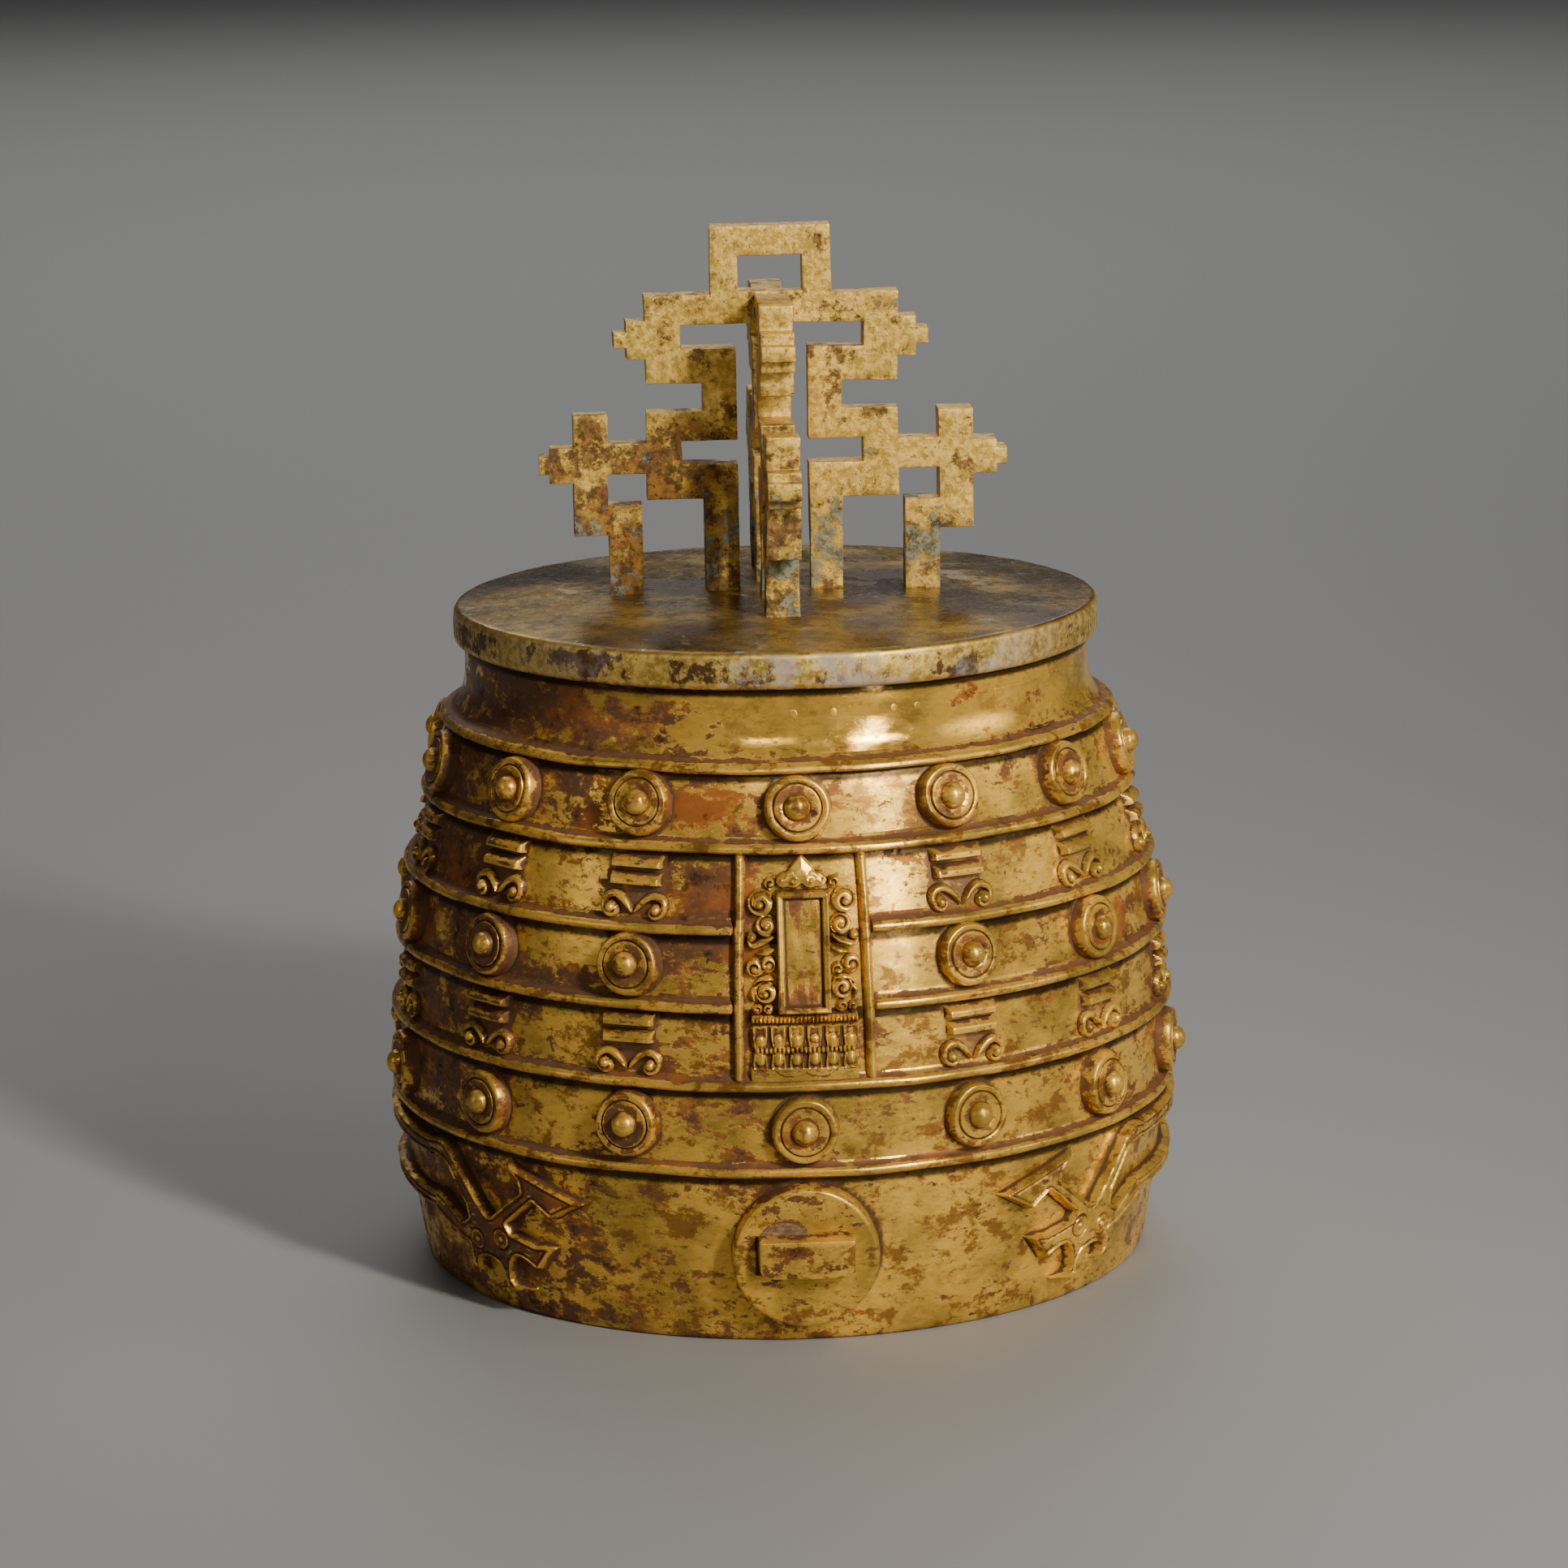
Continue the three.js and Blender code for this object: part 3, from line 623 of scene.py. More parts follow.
def barrel_wall(looks):
    """The wall from lip to neck, and the plain cast inside."""
    outer = [(wall(z) + out, z) for out, z in LIP]
    outer += [(wall(z), z) for z in np.linspace(2.2, WALL_TOP, 137)]
    inner = [(wall(z) - WALL_THICKNESS, z) for z in np.linspace(WALL_TOP, 1.6, 44)]
    inner += [(wall(0) - WALL_THICKNESS + out, z) for out, z in ((0.5, 0.4), (1.3, 0.05))]
    profile = np.array(outer + inner)
    outside = np.repeat([1.0] * len(outer) + [0.0] * len(inner), WALL_COLUMNS)
    turn, level, points = revolved(profile, WALL_COLUMNS)
    dents = waves(points, 38.0, SEED + 1) * 0.09 + waves(points, 90.0, SEED + 2) * 0.12
    dents *= np.clip(points[:, 2] / 6.0, 0, 1)
    points[:, :2] *= (1 + dents / np.hypot(points[:, 0], points[:, 1]))[:, None]
    dust, soil = wall_dirt_and_shade(turn, level)
    gained, red = wear_of(turn, level)
    shape = Shape()
    shape.add(
        points,
        grid_faces(len(profile), WALL_COLUMNS, True, True),
        dust=dust * outside,
        soil=soil * outside,
        inner=1 - outside,
        gained=gained * outside,
        red=red * outside,
        rise=0.3 * outside,
    )
    shape.build("barrel_wall", looks["wall"], "bell_barrel")


# Degrees between the sections of a rib, and more room at the front panel's left post
RIB_STEP = 0.62
LEFT_ROOM = 0.35

# Section of a rib: height from its middle, distance proud of the wall, and how worn it is
RIB_SECTION = [
    (-1.7, -0.7, 0.0),
    (-1.55, 0.3, 0.05),
    (-1.5, 1.1, 0.2),
    (-1.3, 1.95, 0.6),
    (-0.75, 2.6, 0.9),
    (0.0, 2.85, 1.0),
    (0.7, 2.62, 0.95),
    (1.15, 2.1, 0.6),
    (1.4, 1.5, 0.1),
    (1.6, 0.9, 0.1),
    (1.95, 0.45, 0.1),
    (2.5, 0.1, 0.3),
    (3.0, -0.05, 0.3),
    (3.5, -0.5, 0.3),
]


def rounded_end(gap, length):
    """0 at an end, rising on a quarter circle to 1 at a length from it."""
    return np.sqrt(np.clip(1 - (1 - np.clip(gap / length, 0, 1)) ** 2, 0, 1))


def rib_points(level, turn, fade, seed):
    """Section of one rib at each angle; fade runs from 1 to 0 where its end rounds off."""
    up, out, _ = np.array(RIB_SECTION).T[:, :, None]
    z = level + up * (0.55 + 0.45 * fade)
    proud = np.where(out > 0, out * fade, out) - (1 - fade) * 0.6
    base = round_the_axis(turn, 105.0, np.full_like(z, level)).reshape(-1, 3)
    z = z + waves(base, 24.0, seed).reshape(z.shape) * 0.16
    swell = waves(base, 9.0, seed + 50).reshape(z.shape) * 0.07
    return round_the_axis(turn, wall(z) + proud + swell * (proud > 1), z)


def ribs(looks):
    """Six ribs; the third and fourth stop short of the posts on both faces."""
    worn = np.array([row[2] for row in RIB_SECTION])
    near = POST_ANGLE + 0.25
    front = PANEL_ANGLES["front"]
    for number, level in enumerate(RIB_LEVELS):
        shape = Shape()
        whole = number not in (2, 3)
        spans = [(near + front, 180 - near), (180 + near, 360 - near - LEFT_ROOM + front)]
        for start, stop in [(0.0, 360.0)] if whole else spans:
            columns = int((stop - start) / RIB_STEP)
            degrees = np.linspace(start, stop, columns, endpoint=not whole)
            ends = np.minimum(degrees - start, stop - degrees)
            fade = np.ones(columns) if whole else rounded_end(ends, 0.8)
            points = rib_points(level, np.radians(degrees), fade, SEED + 10 + number)
            faces = grid_faces(len(RIB_SECTION), columns, False, whole)
            rise = np.repeat(worn, columns)
            shape.add(points, faces, rise=rise, dust=0.7 * (rise < 0.15))
        shape.build(f"rib_{number + 1}", looks["rib"], "bell_barrel")


def posts(looks):
    """Upright beads at both sides of each panel, with rounded ends."""
    level, across = np.meshgrid(np.linspace(POST_LOW, POST_HIGH, 90), np.linspace(-1, 1, 13), indexing="ij")
    fade = rounded_end(np.minimum(level - POST_LOW, POST_HIGH - level), 1.3)
    proud = 2.9 * np.sqrt(np.clip(1 - np.abs(across) ** 2.4, 0, 1)) * fade - 0.5
    half_width = 1.4 * (0.35 + 0.65 * fade)
    for face, centre in PANEL_ANGLES.items():
        shape = Shape()
        for side in (-1, 1):
            angle = centre + side * POST_ANGLE
            base = wrapped(across * half_width, level, 0.0, angle)
            sway = waves(base.reshape(-1, 3), 14.0, SEED + 30 + side).reshape(level.shape) * 0.12
            points = wrapped(across * half_width + sway, level, proud, angle)
            shape.add(points, grid_faces(*level.shape), rise=np.clip(proud / 2.4, 0, 1))
        shape.build(f"posts_{face}", looks["rib"], "bell_barrel")


# Section of a boss: radius, height above the wall, and how worn it is
BOSS_SECTION = [
    (8.95, -1.2, 0.0),
    (8.9, 0.3, 0.1),
    (8.75, 1.8, 0.25),
    (8.5, 3.0, 0.5),
    (8.2, 3.65, 0.95),
    (7.95, 3.85, 1.0),
    (7.4, 3.9, 0.5),
    (6.8, 3.8, 0.6),
    (6.62, 3.6, 0.5),
    (6.5, 3.05, 0.0),
    (6.3, 3.05, 0.0),
    (6.18, 3.75, 0.7),
    (6.02, 4.0, 1.0),
    (5.75, 4.05, 0.45),
    (4.6, 3.98, 0.16),
    (3.8, 3.85, 0.16),
    (3.5, 3.7, 0.05),
    (3.36, 3.95, 0.2),
    (3.3, 4.6, 0.6),
    (2.95, 5.45, 0.85),
    (2.3, 6.2, 1.0),
    (1.3, 6.75, 1.0),
    (0.45, 6.95, 1.0),
]
BOSS_TIP = 7.0


def bosses(looks):
    """Forty bosses in three rows; no two are quite the same."""
    rng = np.random.default_rng(SEED + 5)
    shapes = [Shape(), Shape(), Shape()]
    columns = 60
    at = circle(columns)
    section_radius, section_out, worn = np.array(BOSS_SECTION).T[:, :, None]
    outer = np.clip((section_radius - 5.0) / 3.0, 0, 1)
    rise = per_point(worn, columns, 1.0)
    for row, angle, level in boss_places():
        radius = section_radius * rng.uniform(0.965, 1.02)
        for size, lobes in ((0.10, 2), (0.08, 3), (0.05, 7)):
            radius = radius + size * np.sin(lobes * at + rng.uniform(0, 6)) * outer
        out = section_out + 0.10 * np.sin(at + rng.uniform(0, 6)) * outer
        drift_across, drift_up = rng.uniform(-0.25, 0.25, 2)
        spot_across, spot_up = rng.uniform(-0.35, 0.35, 2)
        across = radius * np.cos(at) + drift_across * (1 - outer) + spot_across
        up = radius * np.sin(at) + drift_up * (1 - outer) + spot_up
        rings = on_the_slope(across, up, out, angle, level)
        tip = on_the_slope(spot_across + drift_across, spot_up + drift_up, BOSS_TIP, angle, level)
        shapes[row].add_rings(rings, [tip], rise=rise, dust=0.8 * (rise < 0.15))
    for shape, row in zip(shapes, ("upper", "middle", "lower")):
        shape.build(f"bosses_{row}", looks["boss"], "bell_barrel")


# Mark panels


def pediment_height(x, z):
    """Peaked cloud head over the tablet, with scrolls on it."""
    half = [(0, 131.7), (1.6, 129.9), (3.2, 128.3), (3.6, 127.2), (5.2, 126.9), (6.6, 125.9), (6.9, 124.5)]
    half += [(6.2, 123.2), (4.9, 122.7), (3.6, 122.9), (2.2, 122.5), (0.9, 122.8), (0, 123.7)]
    inside = inside_outline(x, z, half + [(-px, pz) for px, pz in reversed(half[1:-1])])
    parts = [ease(inside, -0.1, 0.5) * 1.7 + FOOT + 0.28 * np.clip(inside, 0, 2.5)]
    for side, start in ((-1, 70), (1, 110)):
        parts.append(curl(x, z, side * 2.4, 125.0, 2.35, start, side))
        parts.append(curl(x, z, side * 5.3, 125.2, 1.35, start, -side, 1.9))
        parts.append(curl(x, z, side * 8.1, 124.0, 1.75, 90, side, 2.1))
    return np.maximum.reduce(parts)


# Scrolls beside the tablet: distance out, height, radius, start angle and hand
LEFT_CURLS = [
    (11.0, 119.2, 3.4, 20, 1),
    (9.5, 113.7, 2.9, 300, 1),
    (12.6, 102.6, 2.45, 60, -1),
    (9.2, 103.4, 2.3, 130, 1),
    (10.1, 96.2, 2.9, 40, 1),
    (12.3, 91.9, 1.5, 90, 1),
    (9.3, 91.9, 1.5, 90, -1),
]
RIGHT_CURLS = [
    (11.1, 119.6, 3.3, 170, -1),
    (9.8, 113.7, 2.8, 250, -1),
    (12.4, 103.0, 2.5, 140, 1),
    (8.8, 101.8, 1.8, 60, -1),
    (10.0, 97.1, 2.9, 150, -1),
    (9.6, 92.3, 1.7, 80, 1),
    (12.7, 92.0, 1.4, 80, -1),
]

# Leaves between the scrolls: height of the relief, and knots of distance out, height and half width
LEAVES = [
    (1.8, [(7.6, 107.4, 0.6), (9.6, 106.6, 1.05), (12.2, 106.3, 0.3)]),
    (1.8, [(7.8, 99.6, 0.4), (9.4, 99.9, 0.9), (11.6, 99.6, 0.7), (13.2, 98.2, 0.3)]),
    (1.7, [(12.4, 97.8, 0.4), (13.4, 96.4, 0.9), (13.0, 94.2, 0.5)]),
]


def scrolls_height(x, z):
    """Scrolls and leaves that frame the tablet on both sides."""
    parts = []
    for side, curls in ((-1, LEFT_CURLS), (1, RIGHT_CURLS)):
        parts += [curl(x, z, side * out, *rest) for out, *rest in curls]
        dip = 109.4 - 0.2 * side
        top_leaf = [(7.6, 110.6, 0.5), (9.8, dip, 1.0), (13.0, 108.3, 0.9), (14.2, 109.6, 0.5)]
        for top, knots in [(2.1, top_leaf), *LEAVES]:
            parts.append(leaf(x, z, [(side * out, up, half) for out, up, half in knots], top))
        parts.append(dome(x, z, side * 13.3, 110.6, 1.15, 0.8, 1.6))
    return np.maximum.reduce(parts)


def bead_row(x, z, middle, half_height, half_width, pitch, top):
    """Row of upright beads between two fine edges."""
    across = ((x + pitch / 2) % pitch - pitch / 2) / (pitch * 0.5)
    up = np.abs(z - middle) / half_height
    bead = top * np.sqrt(np.clip(1 - across**2 * 0.92, 0, 1)) * np.sqrt(np.clip(1 - up**3, 0, 1))
    within = ease(half_width - np.abs(x), -0.2, 0.3)
    return np.where(within > 0, (bead + 0.3 * (up < 1.25)) * within + FOOT * (1 - within), FOOT)


PETAL_HALF_WIDTH = 2.2
PETAL_PITCH = 4.68


def petal(x, z, cx, low, high, upright):
    """Lotus petal with a lip along its free edge and a bold boss at its foot."""
    half = PETAL_HALF_WIDTH
    u = np.abs(x - cx) / half
    lobe = 1 - np.sqrt(np.clip(1 - ((u - 0.46) / 0.54) ** 2, 0, 1))
    along = np.abs(z - (low if upright else high))
    width = half * (0.84 + 0.16 * ease(along, 0.0, 3.2))
    edge = np.minimum(width - np.abs(x - cx), high - low - 0.7 * lobe - along)
    body = ease(edge, -0.05, 0.4) * 1.75 + 0.3 * hill(edge - 0.55, 0.25) - 0.35 * ease(edge, 0.8, 1.3)
    knob = np.clip(1 - (u / 0.62) ** 2.6 - np.abs((along - 1.2) / 2.3) ** 3.2, 0, 1) ** 0.45
    knob = knob * (1.5 + 0.35 * np.clip(along / 3.0, 0, 1))
    beyond = (z < low - 0.1) if upright else (z > high + 0.1)
    return np.where((edge > -0.3) & ~beyond, np.maximum(body, 0.9 + knob) - 0.3, FOOT)


def throne_height(x, z):
    """Lotus throne under the tablet: two rows of petals, each under a row of beads."""
    slopes = (0.6, 0.6, 0.5, 0.5)
    parts = [
        slab(x, z, (-13.9, 13.9, 81.5, 88.6), slopes, 0.9),
        slab(x, z, (-14.0, 14.0, 74.6, 80.6), slopes, 0.9),
        bead_row(x, z, 89.2, 0.95, 13.9, 1.03, 2.3),
        bead_row(x, z, 81.15, 0.9, 13.2, 1.12, 2.2),
    ]
    for i in range(6):
        middle = (i - 2.5) * PETAL_PITCH
        parts.append(petal(x, z, middle, 82.0, 87.9, True))
        parts.append(petal(x, z, middle, 75.6, 80.4, False))
    base = slab(x, z, (-14.5, 14.2, 72.5, 76.9), (0.4, 0.4, 0.3, 0.6), 1.35)
    swag = np.minimum.reduce([np.hypot((x - cx) / 4.3, (z - 76.4) / 2.3) for cx in (-3.7, 3.7)])
    parts.append(base + 0.4 * ease(1 - swag, 0.0, 0.08) * (base > 0.8))
    return np.maximum.reduce(parts)


def cartouches(looks):
    """Engraved panels round the tablets."""
    for face, angle in PANEL_ANGLES.items():
        shape = Shape()
        add_relief(shape, pediment_height, (-10.2, 10.2, 121.8, 131.9), 0.2, angle)
        add_relief(shape, scrolls_height, (-15.0, 15.0, 90.2, 122.9), 0.2, angle)
        add_relief(shape, throne_height, (-14.8, 14.8, 72.2, 90.6), 0.18, angle)
        shape.build(f"cartouche_{face}", looks["panel"], f"mark_plaque_{face}")


TABLET_MIDDLE = 106.5


def tablet_height(x, z):
    """Moulded frame round a sunk, bare field."""
    up = np.abs(z - TABLET_MIDDLE)
    edge = np.minimum(7.0 - np.abs(x), 15.9 - up)
    field = np.minimum(5.05 - np.abs(x), 14.2 - up)
    top = ease(edge, -0.05, 0.5) * 3.5 + 0.35 * hill(edge - 0.95, 0.4)
    sunk = ease(field, -0.1, 0.3) * 1.5
    ripple = 0.05 * np.sin(x * 1.3 + 0.4 * z) * ease(field, 0.2, 1)
    return np.where(edge > -0.3, top - sunk + ripple + FOOT, FOOT)


def tablets(looks):
    for face, angle in (("front", PANEL_ANGLES["front"] + 0.05), ("back", 180)):
        shape = Shape()
        add_relief(shape, tablet_height, (-7.2, 7.2, 90.4, 122.6), 0.22, angle)
        shape.build(f"tablet_{face}", looks["tablet"], f"mark_tablet_{face}")


# Dragons


def head_outline():
    """Dragon's head: distance towards the strike disc from the head's middle, and height."""
    points = [(5.0, 45.6), (33.0, 36.3), (21.5, 29.8), (15.8, 33.8), (6.2, 26.2), (7.2, 24.6)]
    points += [(15.3, 22.8), (18.0, 23.3), (22.2, 22.6), (15.8, 14.7)]
    points += bend_through((14.0, 14.9), (8.4, 17.0), (5.8, 12.8))
    points += bend_through((5.9, 12.2), (6.6, 9.4), (11.5, 8.6), 5)
    points += [(11.0, 7.5), (7.0, 6.7), (2.3, 7.0)]
    points += bend_through((1.9, 8.2), (1.0, 12.8), (-3.0, 14.4))
    points += bend_through((-3.6, 14.5), (-6.6, 13.4), (-6.6, 10.8), 5)
    points += bend_through((-6.0, 9.4), (-8.8, 9.6), (-11.8, 11.3), 4)
    points += [(-11.4, 13.8), (-11.6, 17.0)]
    points += bend_through((-14.0, 17.4), (-22.5, 20.6), (-30.0, 23.2))
    points += [(-40.0, 23.2), (-40.0, 28.9)]
    points += bend_through((-31.0, 29.2), (-24.5, 29.2), (-19.8, 27.4))
    points += [(-13.6, 24.0), (-10.9, 25.6), (-11.4, 28.4)]
    points += bend_through((-17.6, 36.0), (-20.8, 38.3), (-27.0, 38.9))
    points += [(-40.0, 38.2), (-40.0, 44.5)]
    points += bend_through((-27.0, 44.8), (-19.5, 45.0), (-14.4, 41.0))
    points += [(-11.7, 38.3), (-3.6, 29.5)]
    points += bend_through((-2.6, 28.6), (-1.2, 28.0), (0.4, 29.2), 4)
    points += [(10.9, 37.2), (10.3, 39.6)]
    return points


HEAD_OUTLINE = head_outline()
EYES = [(2.9, 21.8), (-6.9, 19.7)]
EYE_RADIUS = 3.5

# Lower and upper edges of the two bands that join the heads
BANDS = [(23.2, 28.9), (38.4, 44.7)]


def carved(inside):
    """Height of a carved face: sloping sides, a sharp lip, and a fine line cut inside it."""
    side = ease(inside, -0.15, 1.25)
    lip = 0.22 * hill(inside - 1.2, 0.35)
    line = 0.5 * hill(inside - 2.0, 0.3)
    return np.where(inside > -0.4, side * (DRAGON_PROUD + 0.1) + FOOT + lip - line, FOOT)


def head_height(x, z):
    """Carved head with two ringed eyes."""
    inside = inside_outline(x, z, HEAD_OUTLINE)
    height = carved(inside)
    for cx, cz in EYES:
        away = np.hypot(x - cx, z - cz)
        rings = 0.25 * hill(away - 2.5, 0.4) - 0.55 * hill(away - 3.0, 0.28)
        pupil = 0.55 * hill(away, 0.7) - 0.3 * hill(away - 1.15, 0.25)
        eye = DRAGON_PROUD - 0.25 + rings + pupil
        height = np.where((away < EYE_RADIUS) & (inside > -0.2), eye, height)
    return height


def dragons(looks):
    """On each side a dragon with two heads, and two bands that join them."""
    for side, hand in (("right", 1), ("left", -1)):
        shape = Shape()
        for face in (1, -1):
            centre = HEAD_ANGLE if face > 0 else 180 - HEAD_ANGLE
            flip = -hand * face

            def head(x, z, flip=flip):
                return head_height(flip * x, z)

            reach = (-27.0, 34.2) if flip > 0 else (-34.2, 27.0)
            add_relief(shape, head, (*reach, 6.0, 46.4), 0.28, hand * centre + DRAGON_TURN)
        half = math.radians(90 - HEAD_ANGLE) * wall(38.0) - 26.9
        for low, high in BANDS:

            def band(x, z, low=low, high=high):
                wave = 0.35 * np.sin(x / 9.0)
                return carved(np.minimum(z - low - wave, high + wave - z))

            add_relief(shape, band, (-half, half, low - 1.5, high + 1.5), 0.28, hand * 90 + DRAGON_TURN)
        shape.build(f"dragon_{side}", looks["dragon"], f"side_dragon_{side}")


# Strike points

# Section of the disc: share of its radius, height above its plane, and how worn it is
DISC_SECTION = [
    (0.985, -5.5, 0.0),
    (1.0, 1.2, 0.1),
    (0.995, 3.2, 0.4),
    (0.985, 4.1, 0.9),
    (0.965, 4.5, 1.0),
    (0.94, 4.62, 0.8),
    *[(share, 4.7 - 0.1 * share**2, 0.45) for share in np.linspace(0.9, 0.1, 30)],
]
DISC_TIP = 4.7

# Sections of the bar: share of its outline, height above the disc's plane, and how worn it is
BAR_SECTION = [
    (1.03, 4.4, 0.0),
    (1.02, 5.2, 0.1),
    (1.005, 7.6, 0.35),
    (1.0, 8.8, 0.9),
    (0.99, 9.2, 1.0),
    (0.97, 9.36, 1.0),
    (0.94, 9.42, 0.5),
    (0.7, 9.44, 0.3),
    (0.4, 9.45, 0.3),
]
BAR_TIP = 9.45


def strike_discs(looks):
    """Round discs, with dirt and a painted shadow along the bar's foot, cast to the lower left, and a grey
    stain above it.
    """
    columns = 160
    at = circle(columns)
    share, out, worn = np.array(DISC_SECTION).T[:, :, None]
    rise = per_point(worn, columns, 0.45)
    for (face, angle), seed in zip(FACES.items(), (3, 4)):
        rng = np.random.default_rng(SEED + seed)
        uneven = 1 + 0.006 * np.sin(2 * at + rng.uniform(0, 6)) + 0.003 * np.sin(5 * at + rng.uniform(0, 6))
        radius = share * DISC_RADIUS * uneven
        across, up = radius * np.cos(at), radius * np.sin(at)
        # Dirt and painted shadow round the bar, its middle moved to the lower left, where the bar's shadow
        # falls.
        beside = np.clip(abs(across + 0.4) - BAR_HALF_WIDTH, 0, None)
        above = np.clip(abs(up - BAR_RISE + 0.4) - BAR_HALF_HEIGHT, 0, None)
        soil = 0.95 * fading(np.hypot(beside, above), 0.3, 0.5)
        stain_up = (up - BAR_RISE - BAR_HALF_HEIGHT) / STAIN_HEIGHT
        stain = np.hypot((across - STAIN_ACROSS) / STAIN_HALF_WIDTH, stain_up)
        dust = 0.95 * ease(1.04 - stain, 0, 0.08)
        tip = against_skirt(0.0, 0.0, DISC_TIP, angle)
        shape = Shape()
        shape.add_rings(
            against_skirt(across, up, out, angle),
            [tip],
            rise=rise,
            soil=np.append(soil, 0.0),
            dust=np.append(dust, 0.0),
        )
        shape.build(f"strike_disc_{face}_face", looks["dragon"], f"strike_disc_{face}")


def bar_outline():
    """Bar seen from the front, with a bowed lower edge and rounded lower corners."""
    half = BAR_HALF_WIDTH
    top, bottom = BAR_HALF_HEIGHT, -BAR_HALF_HEIGHT
    down = np.linspace(0, 1, 8)
    points = [(x, top) for x in np.linspace(-half + 0.6, half - 0.6, 30)]
    points += bend_through((half - 0.6, top), (half - 0.12, top - 0.12), (half, top - 0.8), 5)
    points += [(half - 0.15 * t, top - 0.8 - t * (top - bottom - 3.2)) for t in down]
    corner = [(half - 0.15, bottom + 2.4), (half - 0.95, bottom + 0.75), (half - 2.9, bottom - 0.1)]
    points += bend_through(*corner, 8)
    lower = np.linspace(half - 3.2, -half + 3.6, 24)
    points += [(x, bottom - 0.1 - 0.35 * (1 - (x / 10.0) ** 2)) for x in lower]
    corner = [(-half + 3.3, bottom - 0.05), (-half + 0.9, bottom + 0.7), (-half + 0.1, bottom + 2.8)]
    points += bend_through(*corner, 8)
    points += [(-half + 0.1 - 0.1 * t, bottom + 2.8 + t * (top - bottom - 3.6)) for t in down]
    points += bend_through((-half, top - 0.8), (-half + 0.12, top - 0.12), (-half + 0.6, top), 5)
    kept = []
    for point in reversed(points):
        if not kept or math.dist(point, kept[-1]) > 0.05:
            kept.append(point)
    if math.dist(kept[0], kept[-1]) < 0.05:
        kept.pop()
    return np.array(kept)


def strike_bars(looks):
    outline = bar_outline()
    share, out, worn = np.array(BAR_SECTION).T[:, :, None]
    rise = per_point(worn, len(outline), 0.3)
    for face, angle in FACES.items():
        rings = against_skirt(outline[:, 0] * share, outline[:, 1] * share + BAR_RISE, out, angle)
        tip = against_skirt(0.0, BAR_RISE, BAR_TIP, angle)
        shape = Shape()
        # Darker foot and face: painted contact shade at the bar's foot, and a darker tone on its face.
        shape.add_rings(rings, [tip], rise=rise, soil=np.where(rise < 0.34, 0.52, 0.0))
        shape.build(f"strike_block_{face}", looks["block"], f"strike_bar_{face}")


# Crown plate and handle


def crown_profile():
    """Rows of radius, height and wear, from below the plate's middle round to its top."""
    rows = [(r, CROWN_TOP, 0.2) for r in np.linspace(1.0, 78.0, 22)]
    rows += [(r, CROWN_TOP, 0.35) for r in (82.0, 85.0, 86.6)]
    for turn, worn in ((75, 0.7), (55, 1.0), (35, 1.0), (15, 0.7), (0, 0.7)):
        r = CROWN_RADIUS - CROWN_EDGE * (1 - math.cos(math.radians(turn)))
        z = CROWN_TOP - CROWN_EDGE * (1 - math.sin(math.radians(turn)))
        rows.append((r, z, worn))
    for share in np.linspace(0.1, 0.9, 7):
        bulge = 0.15 * math.sin(share * math.pi)
        rows.append((CROWN_RADIUS + bulge, CROWN_TOP - CROWN_EDGE - share * 6.6, 0.35))
    rows += [
        (CROWN_RADIUS, CROWN_BOTTOM + 1.5, 0.8),
        (CROWN_RADIUS - 0.4, CROWN_BOTTOM + 0.6, 0.8),
        (CROWN_RADIUS - 1.4, CROWN_BOTTOM, 0.2),
        (RING_OUTER + 2.0, CROWN_BOTTOM, 0.0),
        (RING_OUTER, CROWN_BOTTOM, 0.0),
        (RING_OUTER, CROWN_BOTTOM - 5, 0.0),
        (RING_OUTER, RING_BOTTOM + 4, 0.0),
        (RING_OUTER, RING_BOTTOM + 0.4, 0.0),
        (RING_OUTER - 0.5, RING_BOTTOM, 0.1),
        (RING_INNER + 0.5, RING_BOTTOM, 0.1),
        (RING_INNER, RING_BOTTOM + 0.5, 0.1),
        (RING_INNER, CROWN_BOTTOM - 0.8, 0.0),
        (RING_INNER - 0.8, CROWN_BOTTOM, 0.0),
    ]
    rows += [(r, CROWN_BOTTOM, 0.0) for r in np.linspace(70.0, 1.0, 14)]
    return np.array(rows)[::-1]


def crown_plate(looks):
    """Thick plate with softened edges, a locating ring below it, and eight mortises."""
    columns = 256
    profile = crown_profile()
    _, _, points = revolved(profile, columns)
    reach = np.hypot(points[:, 0], points[:, 1])
    rim = np.clip((reach - 80.0) / 8.0, 0, 1)
    push = waves(points, 42.0, SEED + 21) * 0.28 * rim + waves(points, 9.0, SEED + 22) * 0.07 * rim
    lift = waves(points, 60.0, SEED + 23) * 0.10 + waves(points, 12.0, SEED + 24) * 0.06 * rim
    above = points[:, 2] > CROWN_BOTTOM - 0.1
    points[:, :2] *= (1 + push * above / reach)[:, None]
    upper = above * np.clip((points[:, 2] - CROWN_BOTTOM) / 8, 0, 1)
    points[:, 2] += (lift + CROWN_SWELL * np.clip(1 - (reach / 86.0) ** 2, 0, 1)) * upper
    inner = (profile[:, 1] < CROWN_BOTTOM + 0.1) & (profile[:, 0] < RING_OUTER + 1)
    shape = Shape()
    shape.add_rings(
        points.reshape(len(profile), columns, 3),
        [(0, 0, CROWN_BOTTOM), (0, 0, CROWN_TOP + CROWN_SWELL)],
        rise=per_point(profile[:, 2], columns, 0.0, 0.2),
        inner=per_point(inner.astype(float), columns, 1.0, 0.0),
    )
    cut_mortises(shape.build("crown", looks["crown"], "crown_plate"))


